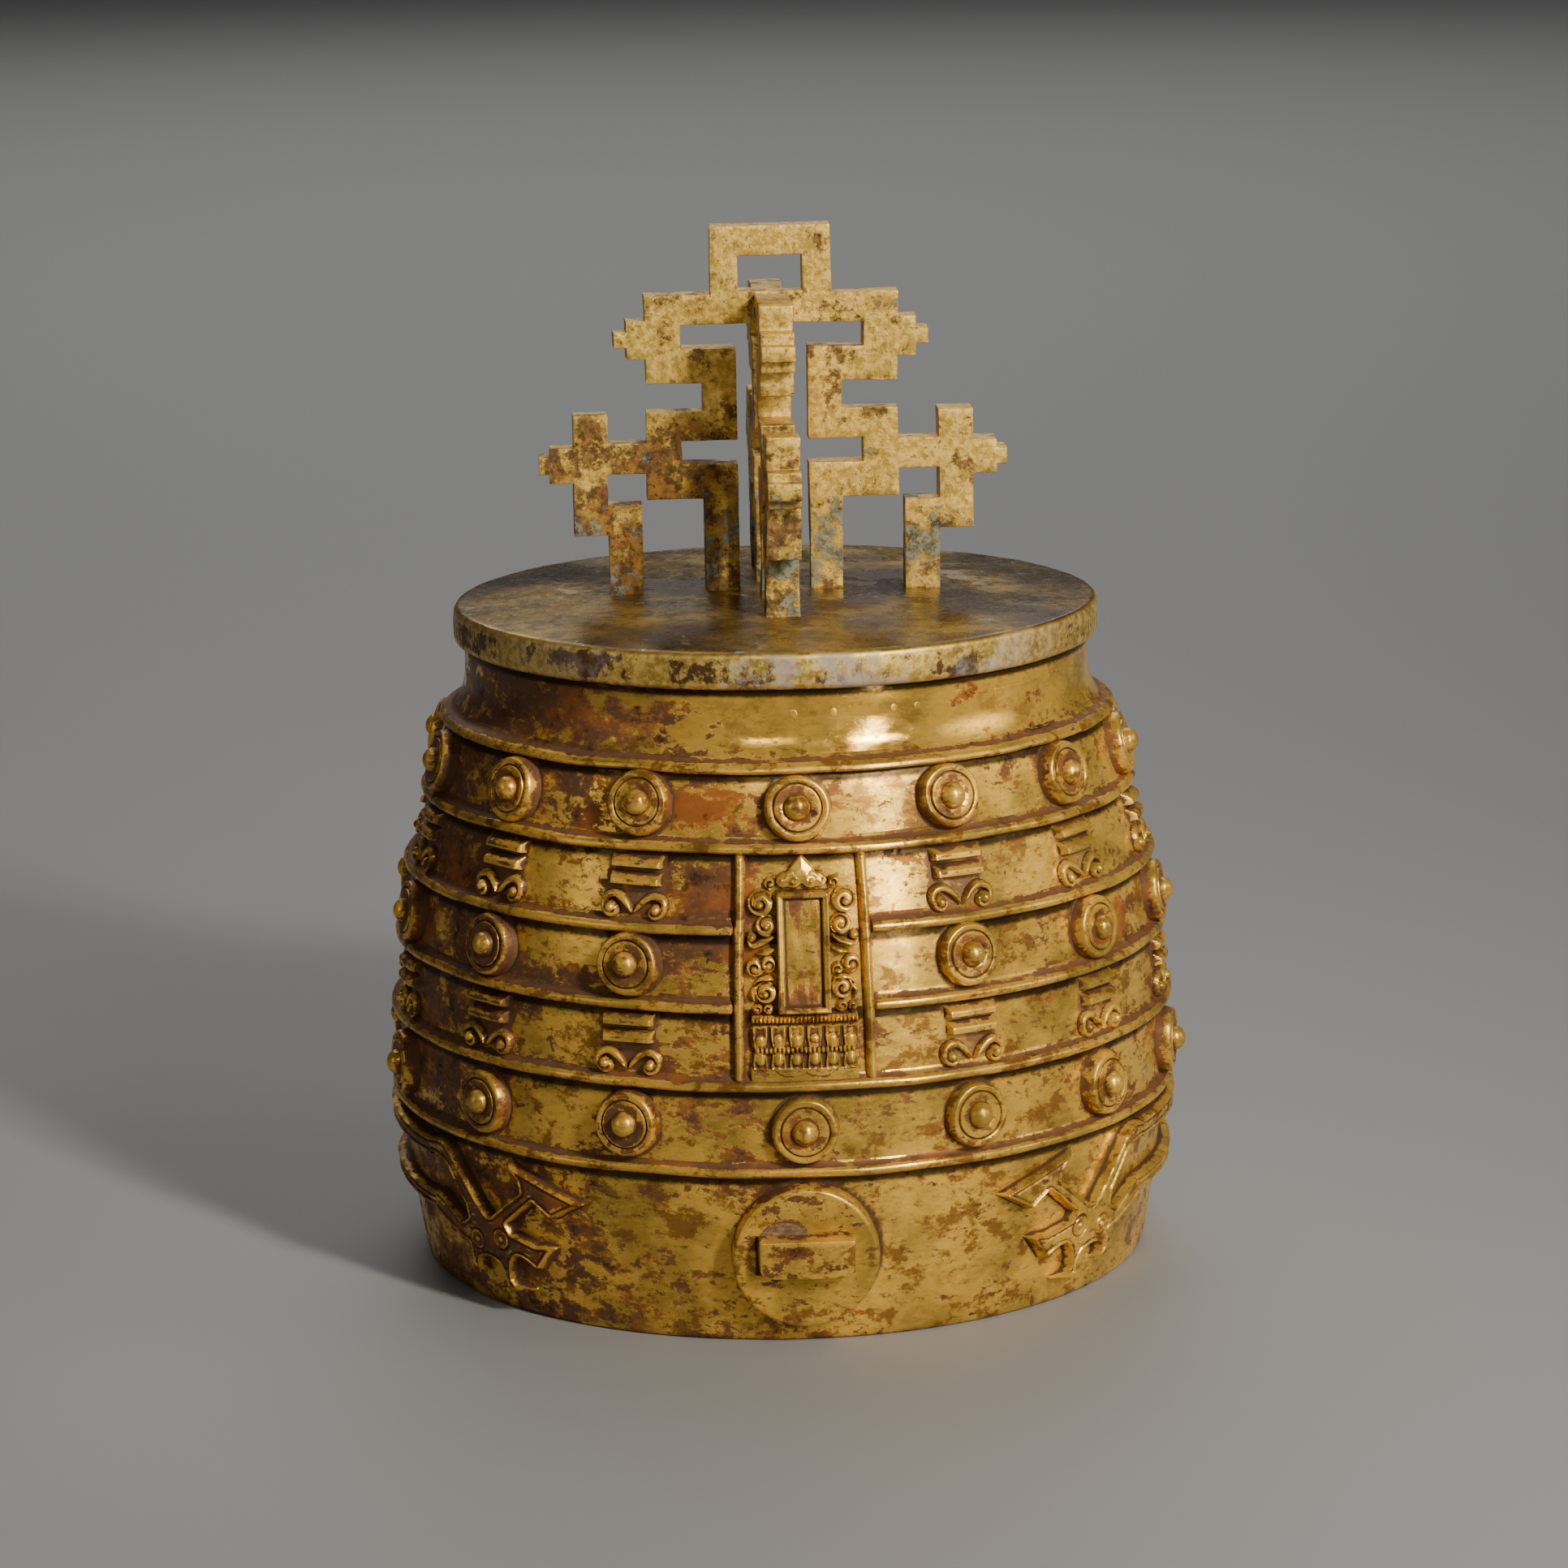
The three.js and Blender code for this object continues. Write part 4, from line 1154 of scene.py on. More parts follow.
def cut_mortises(plate):
    """Cuts the eight square holes that the handle's tenons pass through."""
    work = bmesh.new()
    size = Matrix.Diagonal((MORTISE_SIDE * MM, MORTISE_SIDE * MM, MORTISE_DEPTH * MM, 1))
    middle = (CROWN_TOP + CROWN_BOTTOM + 0.1) / 2 * MM
    for turn in (0, 90):
        for x in TENON_CENTRES:
            place = Matrix.Rotation(math.radians(turn), 4, "Z") @ Matrix.Translation((x * MM, 0, middle))
            bmesh.ops.create_cube(work, size=1.0, matrix=place @ size)
    mesh = bpy.data.meshes.new("mortises")
    work.to_mesh(mesh)
    work.free()
    cutter = bpy.data.objects.new("mortises", mesh)
    bpy.context.collection.objects.link(cutter)
    cut = plate.modifiers.new("mortises", "BOOLEAN")
    cut.operation = "DIFFERENCE"
    cut.solver = "EXACT"
    cut.object = cutter
    settle(plate)
    bpy.data.objects.remove(cutter)
    bpy.data.meshes.remove(mesh)


def settle(piece):
    """Applies a piece's modifiers to its mesh."""
    graph = bpy.context.evaluated_depsgraph_get()
    old = piece.data
    made = bpy.data.meshes.new_from_object(piece.evaluated_get(graph))
    piece.modifiers.clear()
    piece.data = made
    made.name = piece.name
    bpy.data.meshes.remove(old)


def refined(values, step):
    """Sorted distinct values with more between them, at most a step apart."""
    values = sorted(set(round(float(v), 4) for v in values))
    result = [values[0]]
    for a, b in zip(values, values[1:]):
        parts = max(1, math.ceil((b - a) / step))
        result += [a + (b - a) * i / parts for i in range(1, parts + 1)]
    return np.array(result)


# Sides of a cell of a bar: step to the next cell, and the side's corners in X, Y and Z
CELL_SIDES = [
    ((-1, 0), [(0, 0, 0), (0, 0, 1), (0, 1, 1), (0, 1, 0)]),
    ((1, 0), [(1, 1, 0), (1, 1, 1), (1, 0, 1), (1, 0, 0)]),
    ((0, -1), [(0, 0, 0), (0, 1, 0), (1, 1, 0), (1, 0, 0)]),
    ((0, 1), [(0, 0, 1), (1, 0, 1), (1, 1, 1), (0, 1, 1)]),
]
CELL_FRONT = [(0, 0, 0), (1, 0, 0), (1, 0, 1), (0, 0, 1)]
CELL_BACK = [(0, 0, 1), (1, 0, 1), (1, 0, 0), (0, 0, 0)]


def add_bars(shape, bars, cuts, half_thickness, step=2.6):
    """One closed solid from overlapping bars in the XZ plane, less the cuts."""
    xs = refined([v for b in bars + cuts for v in b[:2]], step)
    zs = refined([v for b in bars + cuts for v in b[2:]], step)
    ys = np.linspace(-half_thickness, half_thickness, 5)
    last = len(ys) - 1
    gx, gz = np.meshgrid((xs[:-1] + xs[1:]) / 2, (zs[:-1] + zs[1:]) / 2, indexing="ij")
    filled = np.zeros(gx.shape, bool)
    for boxes, solid in ((bars, True), (cuts, False)):
        for left, right, low, high in boxes:
            filled[(gx > left) & (gx < right) & (gz > low) & (gz < high)] = solid
    filled = np.pad(filled, 1)
    index = {}
    faces = []

    def add_face(i, j, k, corners):
        keys = [(i + a, j + b, k + c) for a, b, c in corners]
        faces.append([index.setdefault(key, len(index)) for key in keys])

    for i, k in np.argwhere(filled) - 1:
        add_face(i, 0, k, CELL_FRONT)
        add_face(i, last, k, CELL_BACK)
        for j in range(last):
            for (di, dk), corners in CELL_SIDES:
                if not filled[i + 1 + di, k + 1 + dk]:
                    add_face(i, j, k, corners)
    shape.add([(xs[i], ys[j], zs[k]) for i, j, k in index], faces)


def add_block(shape, half, low, high, x):
    """Small square block, such as a tenon."""
    square = [(x - half, -half), (x + half, -half), (x + half, half), (x - half, half)]
    corners = [(*place, z) for z in (low, high) for place in square]
    faces = [(3, 2, 1, 0), (4, 5, 6, 7), (0, 1, 5, 4), (1, 2, 6, 5), (2, 3, 7, 6), (3, 0, 4, 7)]
    shape.add(corners, faces)


def handle_plates(looks):
    """Two openwork plates halved over each other, with tenons and hammered heads below the crown."""
    both = HANDLE_BARS + [[-right, -left, low, high] for left, right, low, high in HANDLE_BARS]
    lap = [-LAP_HALF_WIDTH, LAP_HALF_WIDTH]
    kinds = (
        ("long", both + LOOP_BARS, [lap + [250.0, LAP_LEVEL + LAP_GAP]], 0),
        ("cross", both, [lap + [LAP_LEVEL - LAP_GAP, 290.0]], 90),
    )
    for kind, bars, cuts, turn in kinds:
        shape = Shape()
        add_bars(shape, bars, cuts, HANDLE_THICKNESS / 2)
        for x in TENON_CENTRES:
            add_block(shape, TENON_SIDE / 2, HEAD_TOP - 0.5, CROWN_TOP + 2, x)
            add_block(shape, HEAD_SIDE / 2, TENON_BOTTOM - 0.4, HEAD_TOP - 0.3, x)
        plate = shape.build(f"handle_{kind}", looks["handle"], f"handle_{kind}_plate")
        plate.data.transform(Matrix.Rotation(math.radians(turn), 4, "Z"))
        soften(plate)
        shake(plate, SEED + 40 + turn)


def soften(piece):
    """Rounds a plate's edges, and drops the faces with no area that this leaves."""
    bevel = piece.modifiers.new("bevel", "BEVEL")
    bevel.width = HANDLE_BEVEL * MM
    bevel.segments = 3
    bevel.limit_method = "ANGLE"
    bevel.angle_limit = math.radians(40)
    settle(piece)
    clean = bmesh.new()
    clean.from_mesh(piece.data)
    bmesh.ops.dissolve_degenerate(clean, edges=clean.edges, dist=0.001 * MM)
    clean.to_mesh(piece.data)
    clean.free()
    piece.data.shade_smooth()
    piece.data.set_sharp_from_angle(angle=math.radians(HANDLE_SHARP_ANGLE))


def shake(piece, seed):
    """Moves a handle plate's points a little, as on bars that were filed by hand, and marks its edges."""
    mesh = piece.data
    points = np.zeros(len(mesh.vertices) * 3)
    mesh.vertices.foreach_get("co", points)
    points = points.reshape(-1, 3) / MM
    for axis, size in enumerate((0.24, 0.18, 0.24)):
        sway = waves(points, 30.0, seed + axis) * size
        points[:, axis] += sway + waves(points, 8.0, seed + 5 + axis) * 0.06
    mesh.vertices.foreach_set("co", (points * MM).ravel())
    normals = np.zeros(len(mesh.vertices) * 3)
    mesh.vertices.foreach_get("normal", normals)
    worn = np.clip((1 - np.abs(normals.reshape(-1, 3)).max(axis=1)) * 3.4, 0, 1)
    layer = mesh.attributes.new("rise", "FLOAT", "POINT")
    layer.data.foreach_set("value", (0.25 + 0.75 * worn).astype(np.float32))
    mesh.update()


# Plugs and patch in the neck

# Section of a plug: radius, height above the wall, and how worn it is
PIN_SECTION = [(1.2, -9.4, 0.0), (1.2, -0.05, 0.0), (1.16, 0.05, 0.1), (1.0, 0.13, 0.6), (0.6, 0.17, 0.5)]
PIN_TIPS = np.array([-9.4, 0.18])


def pins(looks):
    """Small round plugs through the neck, four on each face."""
    columns = 28
    at = circle(columns)
    radius, out, worn = np.array(PIN_SECTION).T[:, :, None]
    places = [face + angle for face in FACES.values() for angle in PIN_ANGLES]
    for number, angle in enumerate(places, 1):
        rings = on_the_slope(radius * np.cos(at), radius * np.sin(at), out, angle, PIN_LEVEL)
        tips = on_the_slope(0.0, 0.0, PIN_TIPS, angle, PIN_LEVEL)
        shape = Shape()
        shape.add_rings(rings, tips, rise=per_point(worn, columns, 0.0, 0.5))
        shape.build(f"plug_{number}", looks["plug"], f"neck_pin_{number}", slot="dark_bronze")


def patch_height(x, z):
    """Thin plate with its edges just proud."""
    edge = np.minimum(6.2 - np.abs(x), 2.85 - np.abs(z - PATCH_LEVEL))
    return np.where(edge > -0.2, ease(edge, -0.1, 0.35) * 0.5 + FOOT, FOOT)


def neck_patch(looks):
    shape = Shape()
    add_relief(shape, patch_height, (-6.5, 6.5, 162.2, 168.4), 0.12, PATCH_ANGLE)
    shape.build("patch", looks["patch"], "neck_patch")


# Looks, whose lengths are metres

SPECULAR_LEVEL = 0.12


class Value:
    """Output of a material's node, which can be added, multiplied and stepped like a number."""

    def __init__(self, look, socket):
        self.look = look
        self.socket = socket

    def __add__(self, other):
        return self.look.calculate("ADD", self, other)

    def __sub__(self, other):
        return self.look.calculate("SUBTRACT", self, other)

    def __mul__(self, other):
        return self.look.calculate("MULTIPLY", self, other)

    def step(self, low, high, to_low=0.0, to_high=1.0):
        """Goes smoothly from to_low to to_high as the value goes from low to high."""
        inputs = {"Value": self, "From Min": low, "From Max": high, "To Min": to_low, "To Max": to_high}
        return self.look.node("ShaderNodeMapRange", "Result", inputs, interpolation_type="SMOOTHSTEP")


class Look:
    """Builds the nodes of one material. An input may be a number, a colour or a Value."""

    def __init__(self, name):
        self.material = bpy.data.materials.new(name)
        self.material.use_nodes = True
        self.tree = self.material.node_tree
        self.shader = self.tree.nodes["Principled BSDF"]
        self.feed(SPECULAR_LEVEL, self.shader.inputs["Specular IOR Level"])
        self.place = self.node("ShaderNodeTexCoord", "Object", {})

    def feed(self, value, socket):
        if isinstance(value, Value):
            self.tree.links.new(value.socket, socket)
        elif socket.type == "RGBA":
            socket.default_value = (*value, 1)
        else:
            socket.default_value = value

    def node(self, kind, output, inputs, **settings):
        """Adds a node with its settings and inputs, and gives one of its outputs."""
        node = self.tree.nodes.new(kind)
        for name, setting in settings.items():
            setattr(node, name, setting)
        for name, value in inputs.items():
            self.feed(value, node.inputs[name])
        return Value(self, node.outputs[output])

    def calculate(self, operation, a, b):
        return self.node("ShaderNodeMath", 0, {0: a, 1: b}, operation=operation)

    def noise(self, scale, detail=4.0, rough=0.5, stretch=None, bend=0.0):
        place = self.place
        if stretch:
            place = self.node("ShaderNodeMapping", "Vector", {"Vector": place, "Scale": stretch})
        inputs = {"Vector": place, "Scale": scale, "Detail": detail, "Roughness": rough, "Distortion": bend}
        return self.node("ShaderNodeTexNoise", "Fac", inputs)

    def cells(self, scale):
        """Distance to the middle of the nearest of many scattered cells."""
        return self.node("ShaderNodeTexVoronoi", "Distance", {"Vector": self.place, "Scale": scale})

    def value(self, name):
        """A value that the mesh holds at its points."""
        return self.node("ShaderNodeAttribute", "Fac", {}, attribute_name=name)

    def axis(self, which, vector=None):
        return self.node("ShaderNodeSeparateXYZ", which, {"Vector": vector or self.place})

    def mix(self, share, a, b):
        """Colour that goes from a to b as the share goes from 0 to 1."""
        return self.node("ShaderNodeMix", 2, {0: share, 6: a, 7: b}, data_type="RGBA")

    def blend(self, share, a, b):
        """Number that goes from a to b as the share goes from 0 to 1."""
        return self.node("ShaderNodeMix", 0, {0: share, 2: a, 3: b}, data_type="FLOAT")

    def finish(self, colour, metal, rough, height, depth):
        bump = {"Strength": 1.0, "Distance": depth, "Height": height}
        normal = self.node("ShaderNodeBump", "Normal", bump)
        inputs = {"Base Color": colour, "Metallic": metal, "Roughness": rough, "Normal": normal}
        for name, value in inputs.items():
            self.feed(value, self.shader.inputs[name])
        return self.material


GOLD = (0.88, 0.50, 0.075)
OLIVE_GOLD = (0.43, 0.26, 0.04)
PALE_GOLD = (0.95, 0.60, 0.15)
CHESTNUT = (0.25, 0.105, 0.022)
BROWN = (0.18, 0.075, 0.030)
TAN = (0.36, 0.17, 0.065)
VIOLET_BROWN = (0.15, 0.075, 0.042)
RED_COPPER = (0.38, 0.12, 0.025)
ORANGE = (0.52, 0.21, 0.035)
DARK = (0.025, 0.013, 0.006)
DUST = (0.19, 0.105, 0.055)
PALE_DUST = (0.40, 0.31, 0.21)
STAIN = (0.19, 0.155, 0.14)


def gold_tones(look, freckles, brushed):
    """Gold from olive to pale, with brown freckles and patches that are fewer on the neck."""
    colour = look.mix(look.noise(40.0, 5.0, 0.55).step(0.36, 0.60), OLIVE_GOLD, GOLD)
    colour = look.mix(brushed.step(0.45, 0.68, 0.0, 0.30), colour, PALE_GOLD)
    colour = look.mix(brushed.step(0.50, 0.30, 0.0, 0.45), colour, OLIVE_GOLD)
    where = look.noise(70.0, 5.0, 0.6, (1, 1, 1.6)).step(0.40, 0.60, 0.25, 1.0)
    below_neck = look.axis("Z").step(0.161, 0.156, 0.4, 1.0)
    colour = look.mix(freckles * where * below_neck, colour, BROWN)
    haze = look.noise(95.0, 9.0, 0.72, (1, 1, 1.4)).step(0.53, 0.59, 0.0, 0.85)
    return look.mix(haze * below_neck, colour, CHESTNUT)


def bare_tones(look, specks, side, rim, red, glow):
    """Bare bronze: brown to copper red, violet on the left, and orange along the gold's edges."""
    hue = look.noise(55.0, 6.0, 0.6, (1, 1, 1.2), 0.4)
    warmth = hue + look.value("red") * 0.22
    colour = look.mix(warmth.step(0.64 - 0.2 * red, 0.78 - 0.2 * red), BROWN, RED_COPPER)
    colour = look.mix(side.step(0.8, 0.2) * hue.step(0.6, 0.4, 0.1, 0.8), colour, VIOLET_BROWN)
    colour = look.mix(look.noise(140.0, 8.0, 0.65).step(0.54, 0.66, 0.0, 0.75), colour, DARK)
    colour = look.mix(specks.step(0.50, 0.66, 0.0, 0.5), colour, TAN)
    return look.mix(rim * look.noise(80.0, 5.0).step(0.42, 0.6, 0.1 * glow, glow), colour, ORANGE)


def gilding(
    name, gold, pull, rough, patch=120.0, worn_edges=0.30, glow=0.7, red=0.5, streak=1.5, inside=False
):
    """Worn gilding: gold in ragged patches over bare bronze, with dust in the corners, and dark dirt with
    painted shade under ledges and in hollows.
    gold raises the gilded share and pull makes the left side more worn than the right. patch and streak
    set the grain of the patches, worn_edges the gold on raised edges, glow the orange at the gold's
    edges, and red the copper in the bare bronze. inside adds the bell's bare inside and smooth neck."""
    look = Look(name)
    near = look.value("dust")
    side = look.axis("X").step(-0.10, 0.05)
    patches = look.noise(patch, 10.0, 0.68, (1, 1, streak), 0.2)
    specks = look.noise(520.0, 6.0, 0.68, (1, 1, 1.6))
    score = patches * 1.6 + look.noise(26.0, 3.0, 0.5) * 0.8 + specks * 0.35 + side * pull
    score = score + look.value("rise") * worn_edges - near * 0.22 + look.value("gained") * 1.6
    score = score + (gold - 1.37 - 0.55 * pull)
    gilt = score.step(-0.01, 0.035)
    rim = score.step(-0.16, 0.0) - gilt

    brushed = look.noise(300.0, 7.0, 0.62, (1, 1, 2.4))
    freckles = look.noise(330.0, 8.0, 0.72, (1, 1, 1.8)).step(0.55, 0.605)
    cloud = look.noise(150.0, 6.0, 0.6, (1, 1, 2.0))
    bare = bare_tones(look, specks, side, rim, red, glow)
    colour = look.mix(gilt, bare, gold_tones(look, freckles, brushed))
    # Dirt and painted shade: dark where the mesh's darkening value is high.
    colour = look.mix((look.value("soil") + specks * 0.5).step(0.6, 1.15, 0.0, 0.93), colour, DARK)
    film = (near + cloud * 0.6).step(0.62, 1.15, 0.0, 0.55)
    colour = look.mix(film, colour, DUST)
    chalk = (near + specks * 0.5).step(1.12, 1.3, 0.0, 0.6)
    colour = look.mix(chalk, colour, PALE_DUST)
    metal = look.blend(chalk, look.blend(film, look.blend(gilt, 0.42, 0.58), 0.2), 0.0)
    roughness = look.blend(gilt, 0.50, rough) + freckles * 0.12 + cloud.step(0.35, 0.7, -0.05, 0.08)
    roughness = look.blend(film, roughness, 0.55)
    if inside:
        within = look.value("inner")
        colour = look.mix(within, colour, look.mix(look.noise(40.0, 5.0, 0.55).step(0.4, 0.6), BROWN, DARK))
        roughness = look.blend(within, roughness, 0.62) - look.axis("Z").step(0.1545, 0.157) * 0.16
    height = gilt * 0.30 + brushed * 0.35 + patches * 0.3 + look.cells(520.0).step(0.0, 0.16) * 0.2
    height = height + look.noise(95.0, 3.0) * 0.8 + film * 0.25
    return look.finish(colour, metal, roughness, height, 0.00012)


# Crown: its side's gold, bare bronze, spots, and grey stains partly painted as sheen, and its top's brown,
# olive, smears and green
SIDE_DULL_GOLD = (0.48, 0.31, 0.06)
SIDE_GOLD = (0.84, 0.56, 0.15)
SIDE_BARE = (0.13, 0.065, 0.028)
SIDE_SPOT = (0.10, 0.065, 0.052)
SIDE_GREY = (0.38, 0.32, 0.28)
TOP_BROWN = (0.085, 0.046, 0.013)
TOP_OLIVE = (0.38, 0.235, 0.045)
TOP_DARK = (0.08, 0.045, 0.016)
TOP_SMEAR = (0.38, 0.31, 0.20)
TOP_GREEN = (0.22, 0.46, 0.44)


def crown_look():
    """Polished olive-brown top with pale smears, and a gilded side with dark spots, grey stains that are
    partly a painted sheen, and more gold on the right as painted light.
    """
    look = Look("gilt_crown")
    rise = look.value("rise")
    normal = look.node("ShaderNodeNewGeometry", "Normal", {})
    up = look.axis("Z", normal).step(0.55, 0.9)
    specks = look.noise(420.0, 6.0, 0.65)
    broad = look.noise(22.0, 4.0, 0.55)
    ragged = look.noise(130.0, 12.0, 0.74, (1, 1, 0.8))
    across = look.axis("X")
    score = ragged + broad * 0.6 + rise * 0.2
    # Painted light: more gold towards the right, where the light falls, and less towards the left.
    score = score + across.step(-0.02, 0.06) * 0.08 - across.step(-0.02, -0.07) * 0.09
    gilt = score.step(0.79, 0.86)
    side = look.mix(gilt, SIDE_BARE, look.mix(specks.step(0.4, 0.6), SIDE_DULL_GOLD, SIDE_GOLD))
    spots = look.cells(38.0) + specks * 0.25
    blot = spots.step(0.38, 0.27) * look.noise(18.0, 3.0).step(0.44, 0.56)
    side = look.mix(blot * 0.85, side, SIDE_SPOT)
    # Grey stains massed at the front middle of the side: partly real stains and partly a painted sheen.
    middle = across.step(-0.070, -0.035) * across.step(0.080, 0.040)
    grey = (look.noise(40.0, 7.0, 0.68) + specks * 0.2).step(0.55, 0.70, 0.0, 0.85) * (middle * 0.8 + 0.2)
    side = look.mix(grey, side, SIDE_GREY)

    top = look.mix(broad.step(0.38, 0.62), TOP_BROWN, TOP_OLIVE)
    top = look.mix(look.noise(160.0, 9.0, 0.7).step(0.50, 0.59, 0.0, 0.75), top, TOP_DARK)
    pale = look.noise(48.0, 9.0, 0.68, (1, 1, 1), 0.8).step(0.60, 0.67, 0.0, 0.42)
    top = look.mix(pale, top, TOP_SMEAR)
    top = look.mix(look.noise(190.0, 5.0, 0.6).step(0.66, 0.70) * 0.9, top, TOP_GREEN)

    colour = look.mix(up, side, top)
    colour = look.mix((rise + specks * 0.3).step(0.95, 1.2, 0, 0.5), colour, OLIVE_GOLD)
    colour = look.mix(look.value("inner"), colour, BROWN)
    matt = grey * 0.8 + up * pale
    metal = matt * -0.7 + 0.74
    roughness = look.blend(up, look.blend(gilt, 0.48, 0.36), 0.22)
    roughness = roughness + matt * 0.35 + specks.step(0.4, 0.7, 0, 0.08)
    height = (ragged * 0.9 + specks * 0.4 + gilt * 0.2) * (up * -0.85 + 1.0)
    return look.finish(colour, metal, roughness, height, 0.00016)


# Handle: its gold and bare bronze, brown freckles, and rust and green crust from dark to light
HANDLE_DULL_GOLD = (0.50, 0.31, 0.05)
HANDLE_GOLD = (0.88, 0.57, 0.14)
HANDLE_DARK = (0.09, 0.045, 0.018)
HANDLE_BARE = (0.27, 0.14, 0.04)
HANDLE_FRECKLE = (0.19, 0.095, 0.03)
DARK_RUST = (0.11, 0.055, 0.028)
RUST = (0.46, 0.205, 0.035)
DARK_CRUST = (0.10, 0.145, 0.11)
CRUST = (0.26, 0.30, 0.22)


def handle_look():
    """Matt old gilding mottled with brown, with ochre and green corrosion towards the feet."""
    look = Look("gilt_handle")
    rise = look.value("rise")
    specks = look.noise(480.0, 6.0, 0.68)
    fine = look.noise(135.0, 13.0, 0.76)
    broad = look.noise(34.0, 4.0, 0.55)
    low = look.axis("Z").step(0.250, 0.190)
    left = look.axis("X").step(0.01, -0.03)
    gold = look.mix(specks.step(0.38, 0.62), HANDLE_DULL_GOLD, HANDLE_GOLD)
    worn = fine + broad * 0.45 + left * 0.05 + low * 0.09 - rise * 0.10
    bare = look.mix(specks.step(0.42, 0.6), HANDLE_DARK, HANDLE_BARE)
    colour = look.mix(worn.step(0.775, 0.83, 0.0, 0.92), gold, bare)
    rust = look.noise(120.0, 12.0, 0.72) + low * (left * 0.10 + 0.11) - rise * 0.12 + broad * 0.3
    rust = rust.step(0.725, 0.775)
    tone = look.noise(170.0, 8.0, 0.7).step(0.42, 0.60)
    colour = look.mix(rust * 0.8, colour, look.mix(tone, DARK_RUST, RUST))
    crust = look.noise(120.0, 10.0, 0.72) + look.axis("Z").step(0.238, 0.186) * 0.17
    crust = crust.step(0.635, 0.69, 0.0, 0.75)
    colour = look.mix(crust, colour, look.mix(specks.step(0.4, 0.6), DARK_CRUST, CRUST))
    colour = look.mix(look.noise(260.0, 9.0, 0.75).step(0.565, 0.62, 0.0, 0.7), colour, HANDLE_FRECKLE)
    colour = look.mix(look.noise(620.0, 4.0, 0.6).step(0.62, 0.70, 0.0, 0.7), colour, DARK)
    metal = look.blend(rust, look.blend(worn.step(0.775, 0.83), 0.60, 0.35), 0.2)
    metal = look.blend(crust, metal, 0.05)
    roughness = look.blend(rust, 0.40, 0.6) + crust * 0.2 + fine.step(0.3, 0.7, -0.05, 0.12)
    height = fine + specks * 0.4 + rust * 0.2 + crust * 0.3
    return look.finish(colour, metal, roughness, height, 0.00034)


# Fastenings out of sight
DULL_DARK = (0.10, 0.06, 0.035)
DULL_BRONZE = (0.26, 0.16, 0.08)


def dull_look():
    """Plain brown bronze for the fastenings that are out of sight."""
    look = Look("dull_bronze")
    tone = look.noise(90.0, 7.0, 0.6)
    colour = look.mix(tone.step(0.4, 0.62), DULL_DARK, DULL_BRONZE)
    colour = look.mix(look.noise(300.0, 5.0).step(0.6, 0.7, 0, 0.6), colour, STAIN)
    return look.finish(colour, 0.85, tone.step(0.3, 0.7, 0.42, 0.62), look.noise(500.0, 6.0, 0.6), 0.00015)


GILDINGS = {
    "wall": {"gold": 0.02, "pull": 0.21, "rough": 0.27, "red": 0.40, "inside": True},
    "rib": {"gold": -0.13, "pull": 0.17, "rough": 0.28, "patch": 190.0, "worn_edges": 0.46, "glow": 0.2},
    "boss": {"gold": -0.16, "pull": 0.20, "rough": 0.30, "patch": 190.0, "worn_edges": 0.48, "glow": 0.4},
    "relief": {"gold": -0.12, "pull": 0.18, "rough": 0.32, "patch": 210.0, "worn_edges": 0.45, "glow": 0.3},
    "panel": {"gold": 0.10, "pull": 0.10, "rough": 0.30, "patch": 220.0, "worn_edges": 0.35, "glow": 0.3},
    "tablet": {"gold": 0.02, "pull": 0.05, "rough": 0.32, "patch": 200.0, "worn_edges": 0.2, "streak": 0.22},
    "dragon": {"gold": -0.06, "pull": 0.22, "rough": 0.32, "worn_edges": 0.38, "glow": 0.12},
    "block": {"gold": -0.13, "pull": 0.10, "rough": 0.38, "patch": 130.0, "worn_edges": 0.35, "glow": 0.1},
    "plug": {"gold": -0.20, "pull": 0.10, "rough": 0.30, "patch": 200.0, "worn_edges": 0.9, "glow": 0.2},
    "patch": {"gold": 0.30, "pull": 0.00, "rough": 0.26, "patch": 90.0, "glow": 0.2},
}


def make_looks():
    looks = {name: gilding(f"gilt_{name}", **settings) for name, settings in GILDINGS.items()}
    looks["handle"] = handle_look()
    looks["crown"] = crown_look()
    looks["dull"] = dull_look()
    return looks


# Setting, whose lengths are metres

FLOOR_COLOUR = (0.31, 0.308, 0.304, 1)
SKY_COLOUR = (0.80, 0.82, 0.85, 1)
SKY_STRENGTH = 0.045

# Lamps: place, aim, width, height, watts, beam in degrees and colour
LAMPS = {
    "key": ((0.76, -1.16, 0.96), (0, 0, 0.16), 0.15, 0.22, 4.9, 100, (1, 0.95, 0.84)),
    "strip": ((0.42, -0.72, 0.52), (0, 0, 0.22), 0.022, 0.88, 1.15, 80, (1, 0.98, 0.94)),
    "right": ((0.82, -0.17, 0.61), (0, 0, 0.29), 0.80, 1.0, 0.36, 36, (1, 0.93, 0.80)),
    "front": ((-0.12, -1.15, 0.85), (0, 0, 0.29), 0.35, 0.35, 0.06, 26, (1, 0.95, 0.85)),
    "left": ((-1.28, -0.68, 0.55), (0, 0, 0.16), 0.4, 0.9, 0.45, 100, (1, 0.94, 0.84)),
    "behind": ((0.0, 3.4, 2.6), (0, 3.0, 0.0), 3.0, 5.0, 75, 180, (1, 1, 1)),
}


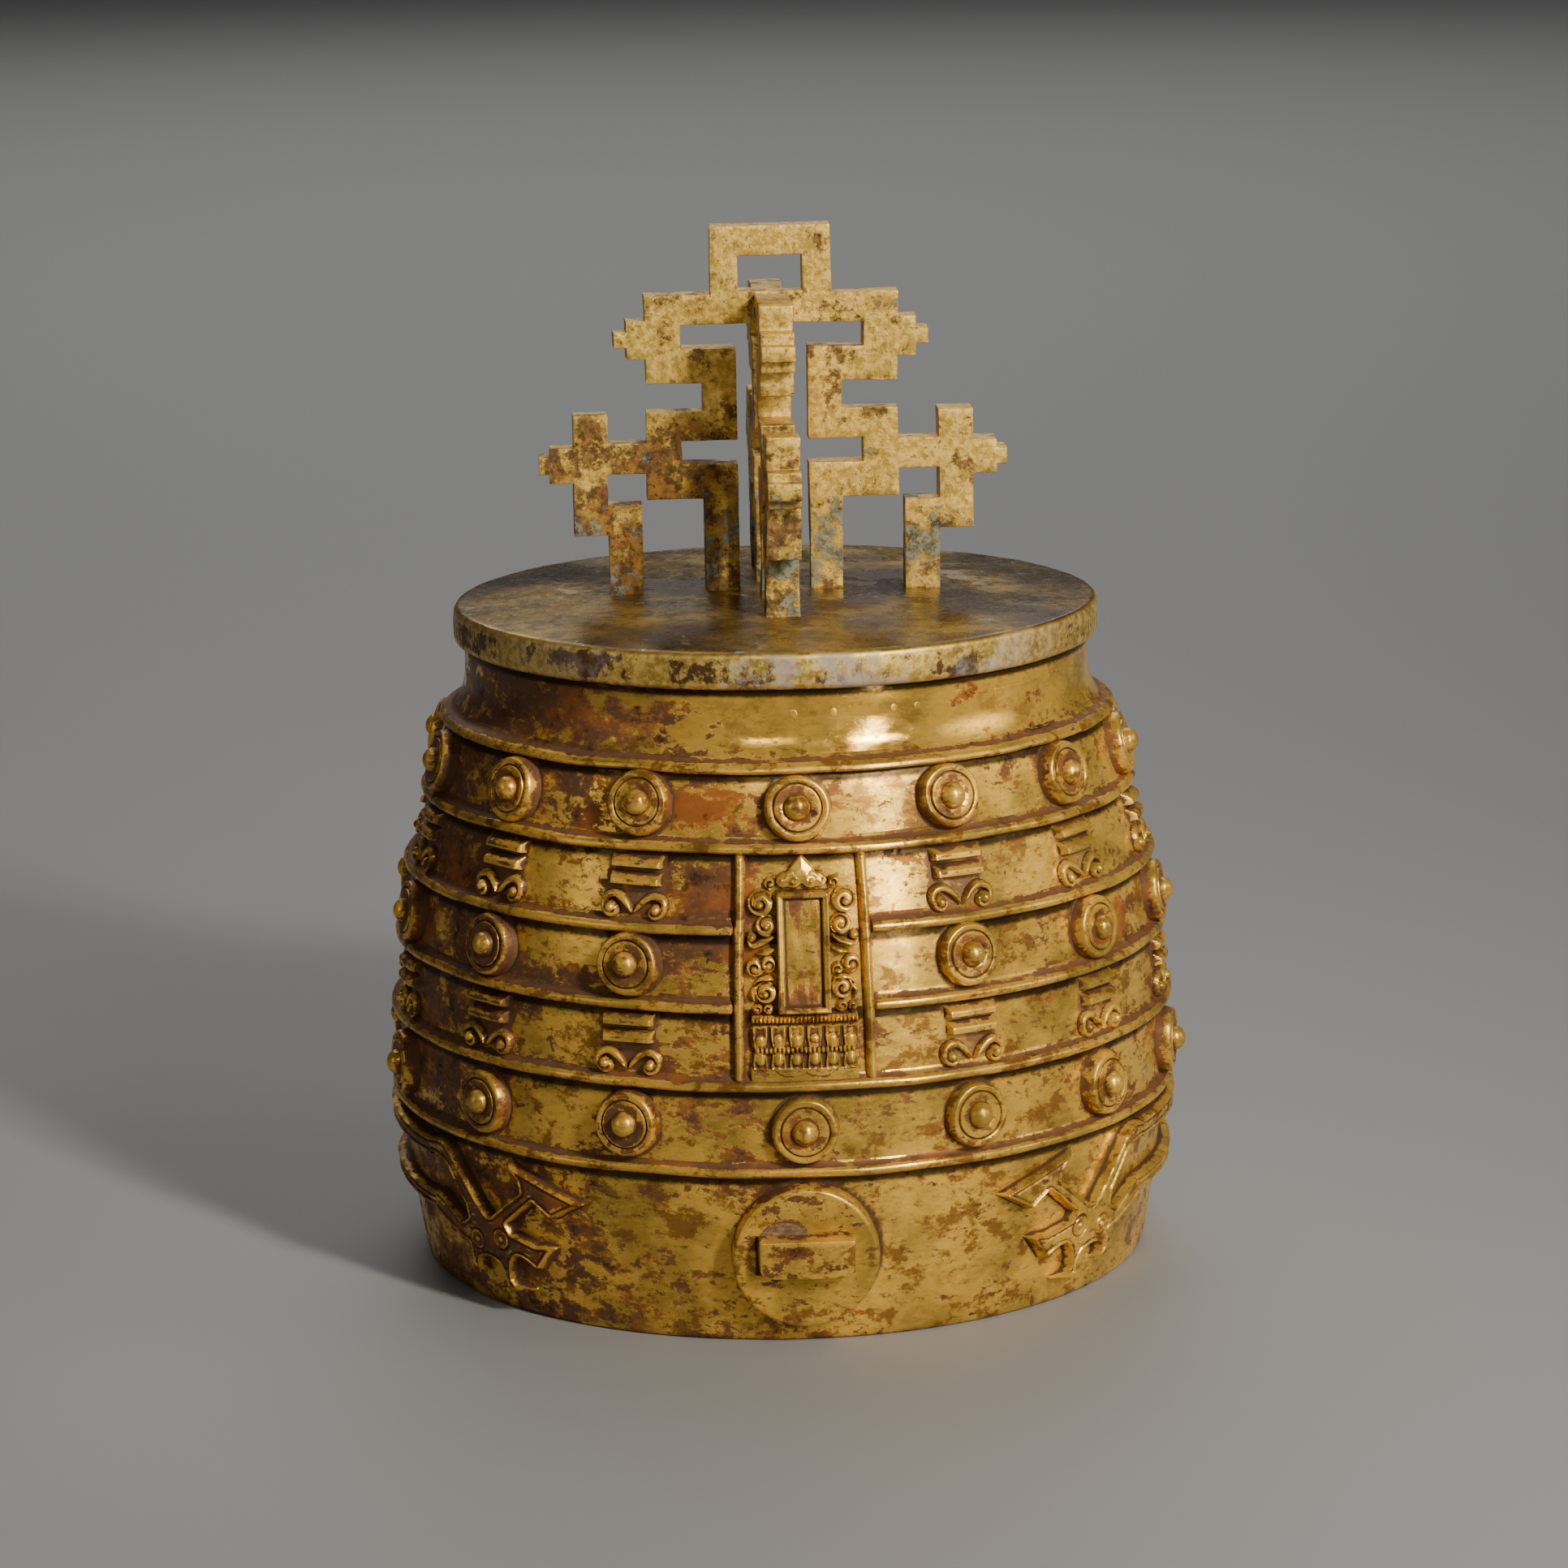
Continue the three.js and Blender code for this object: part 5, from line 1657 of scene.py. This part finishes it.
def softbox(name, place, aim, width, height, power, beam, colour):
    """Area lamp that faces its aim, with its light kept within a beam."""
    lamp = bpy.data.lights.new(name, "AREA")
    lamp.shape = "RECTANGLE"
    lamp.size = width
    lamp.size_y = height
    lamp.energy = power
    lamp.spread = math.radians(beam)
    lamp.color = colour
    made = bpy.data.objects.new(name, lamp)
    bpy.context.collection.objects.link(made)
    made.location = place
    made.rotation_euler = (Vector(aim) - Vector(place)).to_track_quat("-Z", "Y").to_euler()


def studio():
    """Plain pale floor and soft lamps."""
    bpy.ops.mesh.primitive_plane_add(size=40, location=(0, 0, 0))
    floor = bpy.context.object
    floor.name = "floor"
    pale = bpy.data.materials.new("floor")
    pale.use_nodes = True
    shader = pale.node_tree.nodes["Principled BSDF"]
    shader.inputs["Base Color"].default_value = FLOOR_COLOUR
    shader.inputs["Roughness"].default_value = 0.6
    floor.data.materials.append(pale)
    world = bpy.data.worlds.new("studio")
    world.use_nodes = True
    sky = world.node_tree.nodes["Background"]
    sky.inputs["Color"].default_value = SKY_COLOUR
    sky.inputs["Strength"].default_value = SKY_STRENGTH
    bpy.context.scene.world = world
    for name, settings in LAMPS.items():
        softbox(name, *settings)


def camera():
    """Camera at the photograph's place and angle."""
    lens = bpy.data.cameras.new("camera")
    lens.lens = CAMERA_LENS
    lens.sensor_width = 36
    made = bpy.data.objects.new("camera", lens)
    bpy.context.collection.objects.link(made)
    level = math.cos(CAMERA_PITCH)
    east, north = math.sin(CAMERA_HEADING) * level, math.cos(CAMERA_HEADING) * level
    forward = Vector((east, north, -math.sin(CAMERA_PITCH)))
    right = forward.cross(Vector((0, 0, 1))).normalized()
    up = right.cross(forward)
    turned_right = right * math.cos(CAMERA_ROLL) + up * math.sin(CAMERA_ROLL)
    turned_up = up * math.cos(CAMERA_ROLL) - right * math.sin(CAMERA_ROLL)
    axes = Matrix((turned_right, turned_up, -forward)).transposed()
    made.matrix_world = Matrix.Translation(CAMERA_PLACE) @ axes.to_4x4()
    bpy.context.scene.camera = made


looks = make_looks()

# The CAD nodes that no piece replaces, such as the collars, show this plain finish
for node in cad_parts.values():
    node.data.materials.clear()
    node.data.materials.append(looks["dull"])

barrel_wall(looks)
ribs(looks)
posts(looks)
bosses(looks)
cloud_signs(looks)
cartouches(looks)
tablets(looks)
dragons(looks)
strike_discs(looks)
strike_bars(looks)
crown_plate(looks)
handle_plates(looks)
pins(looks)
neck_patch(looks)
studio()
camera()
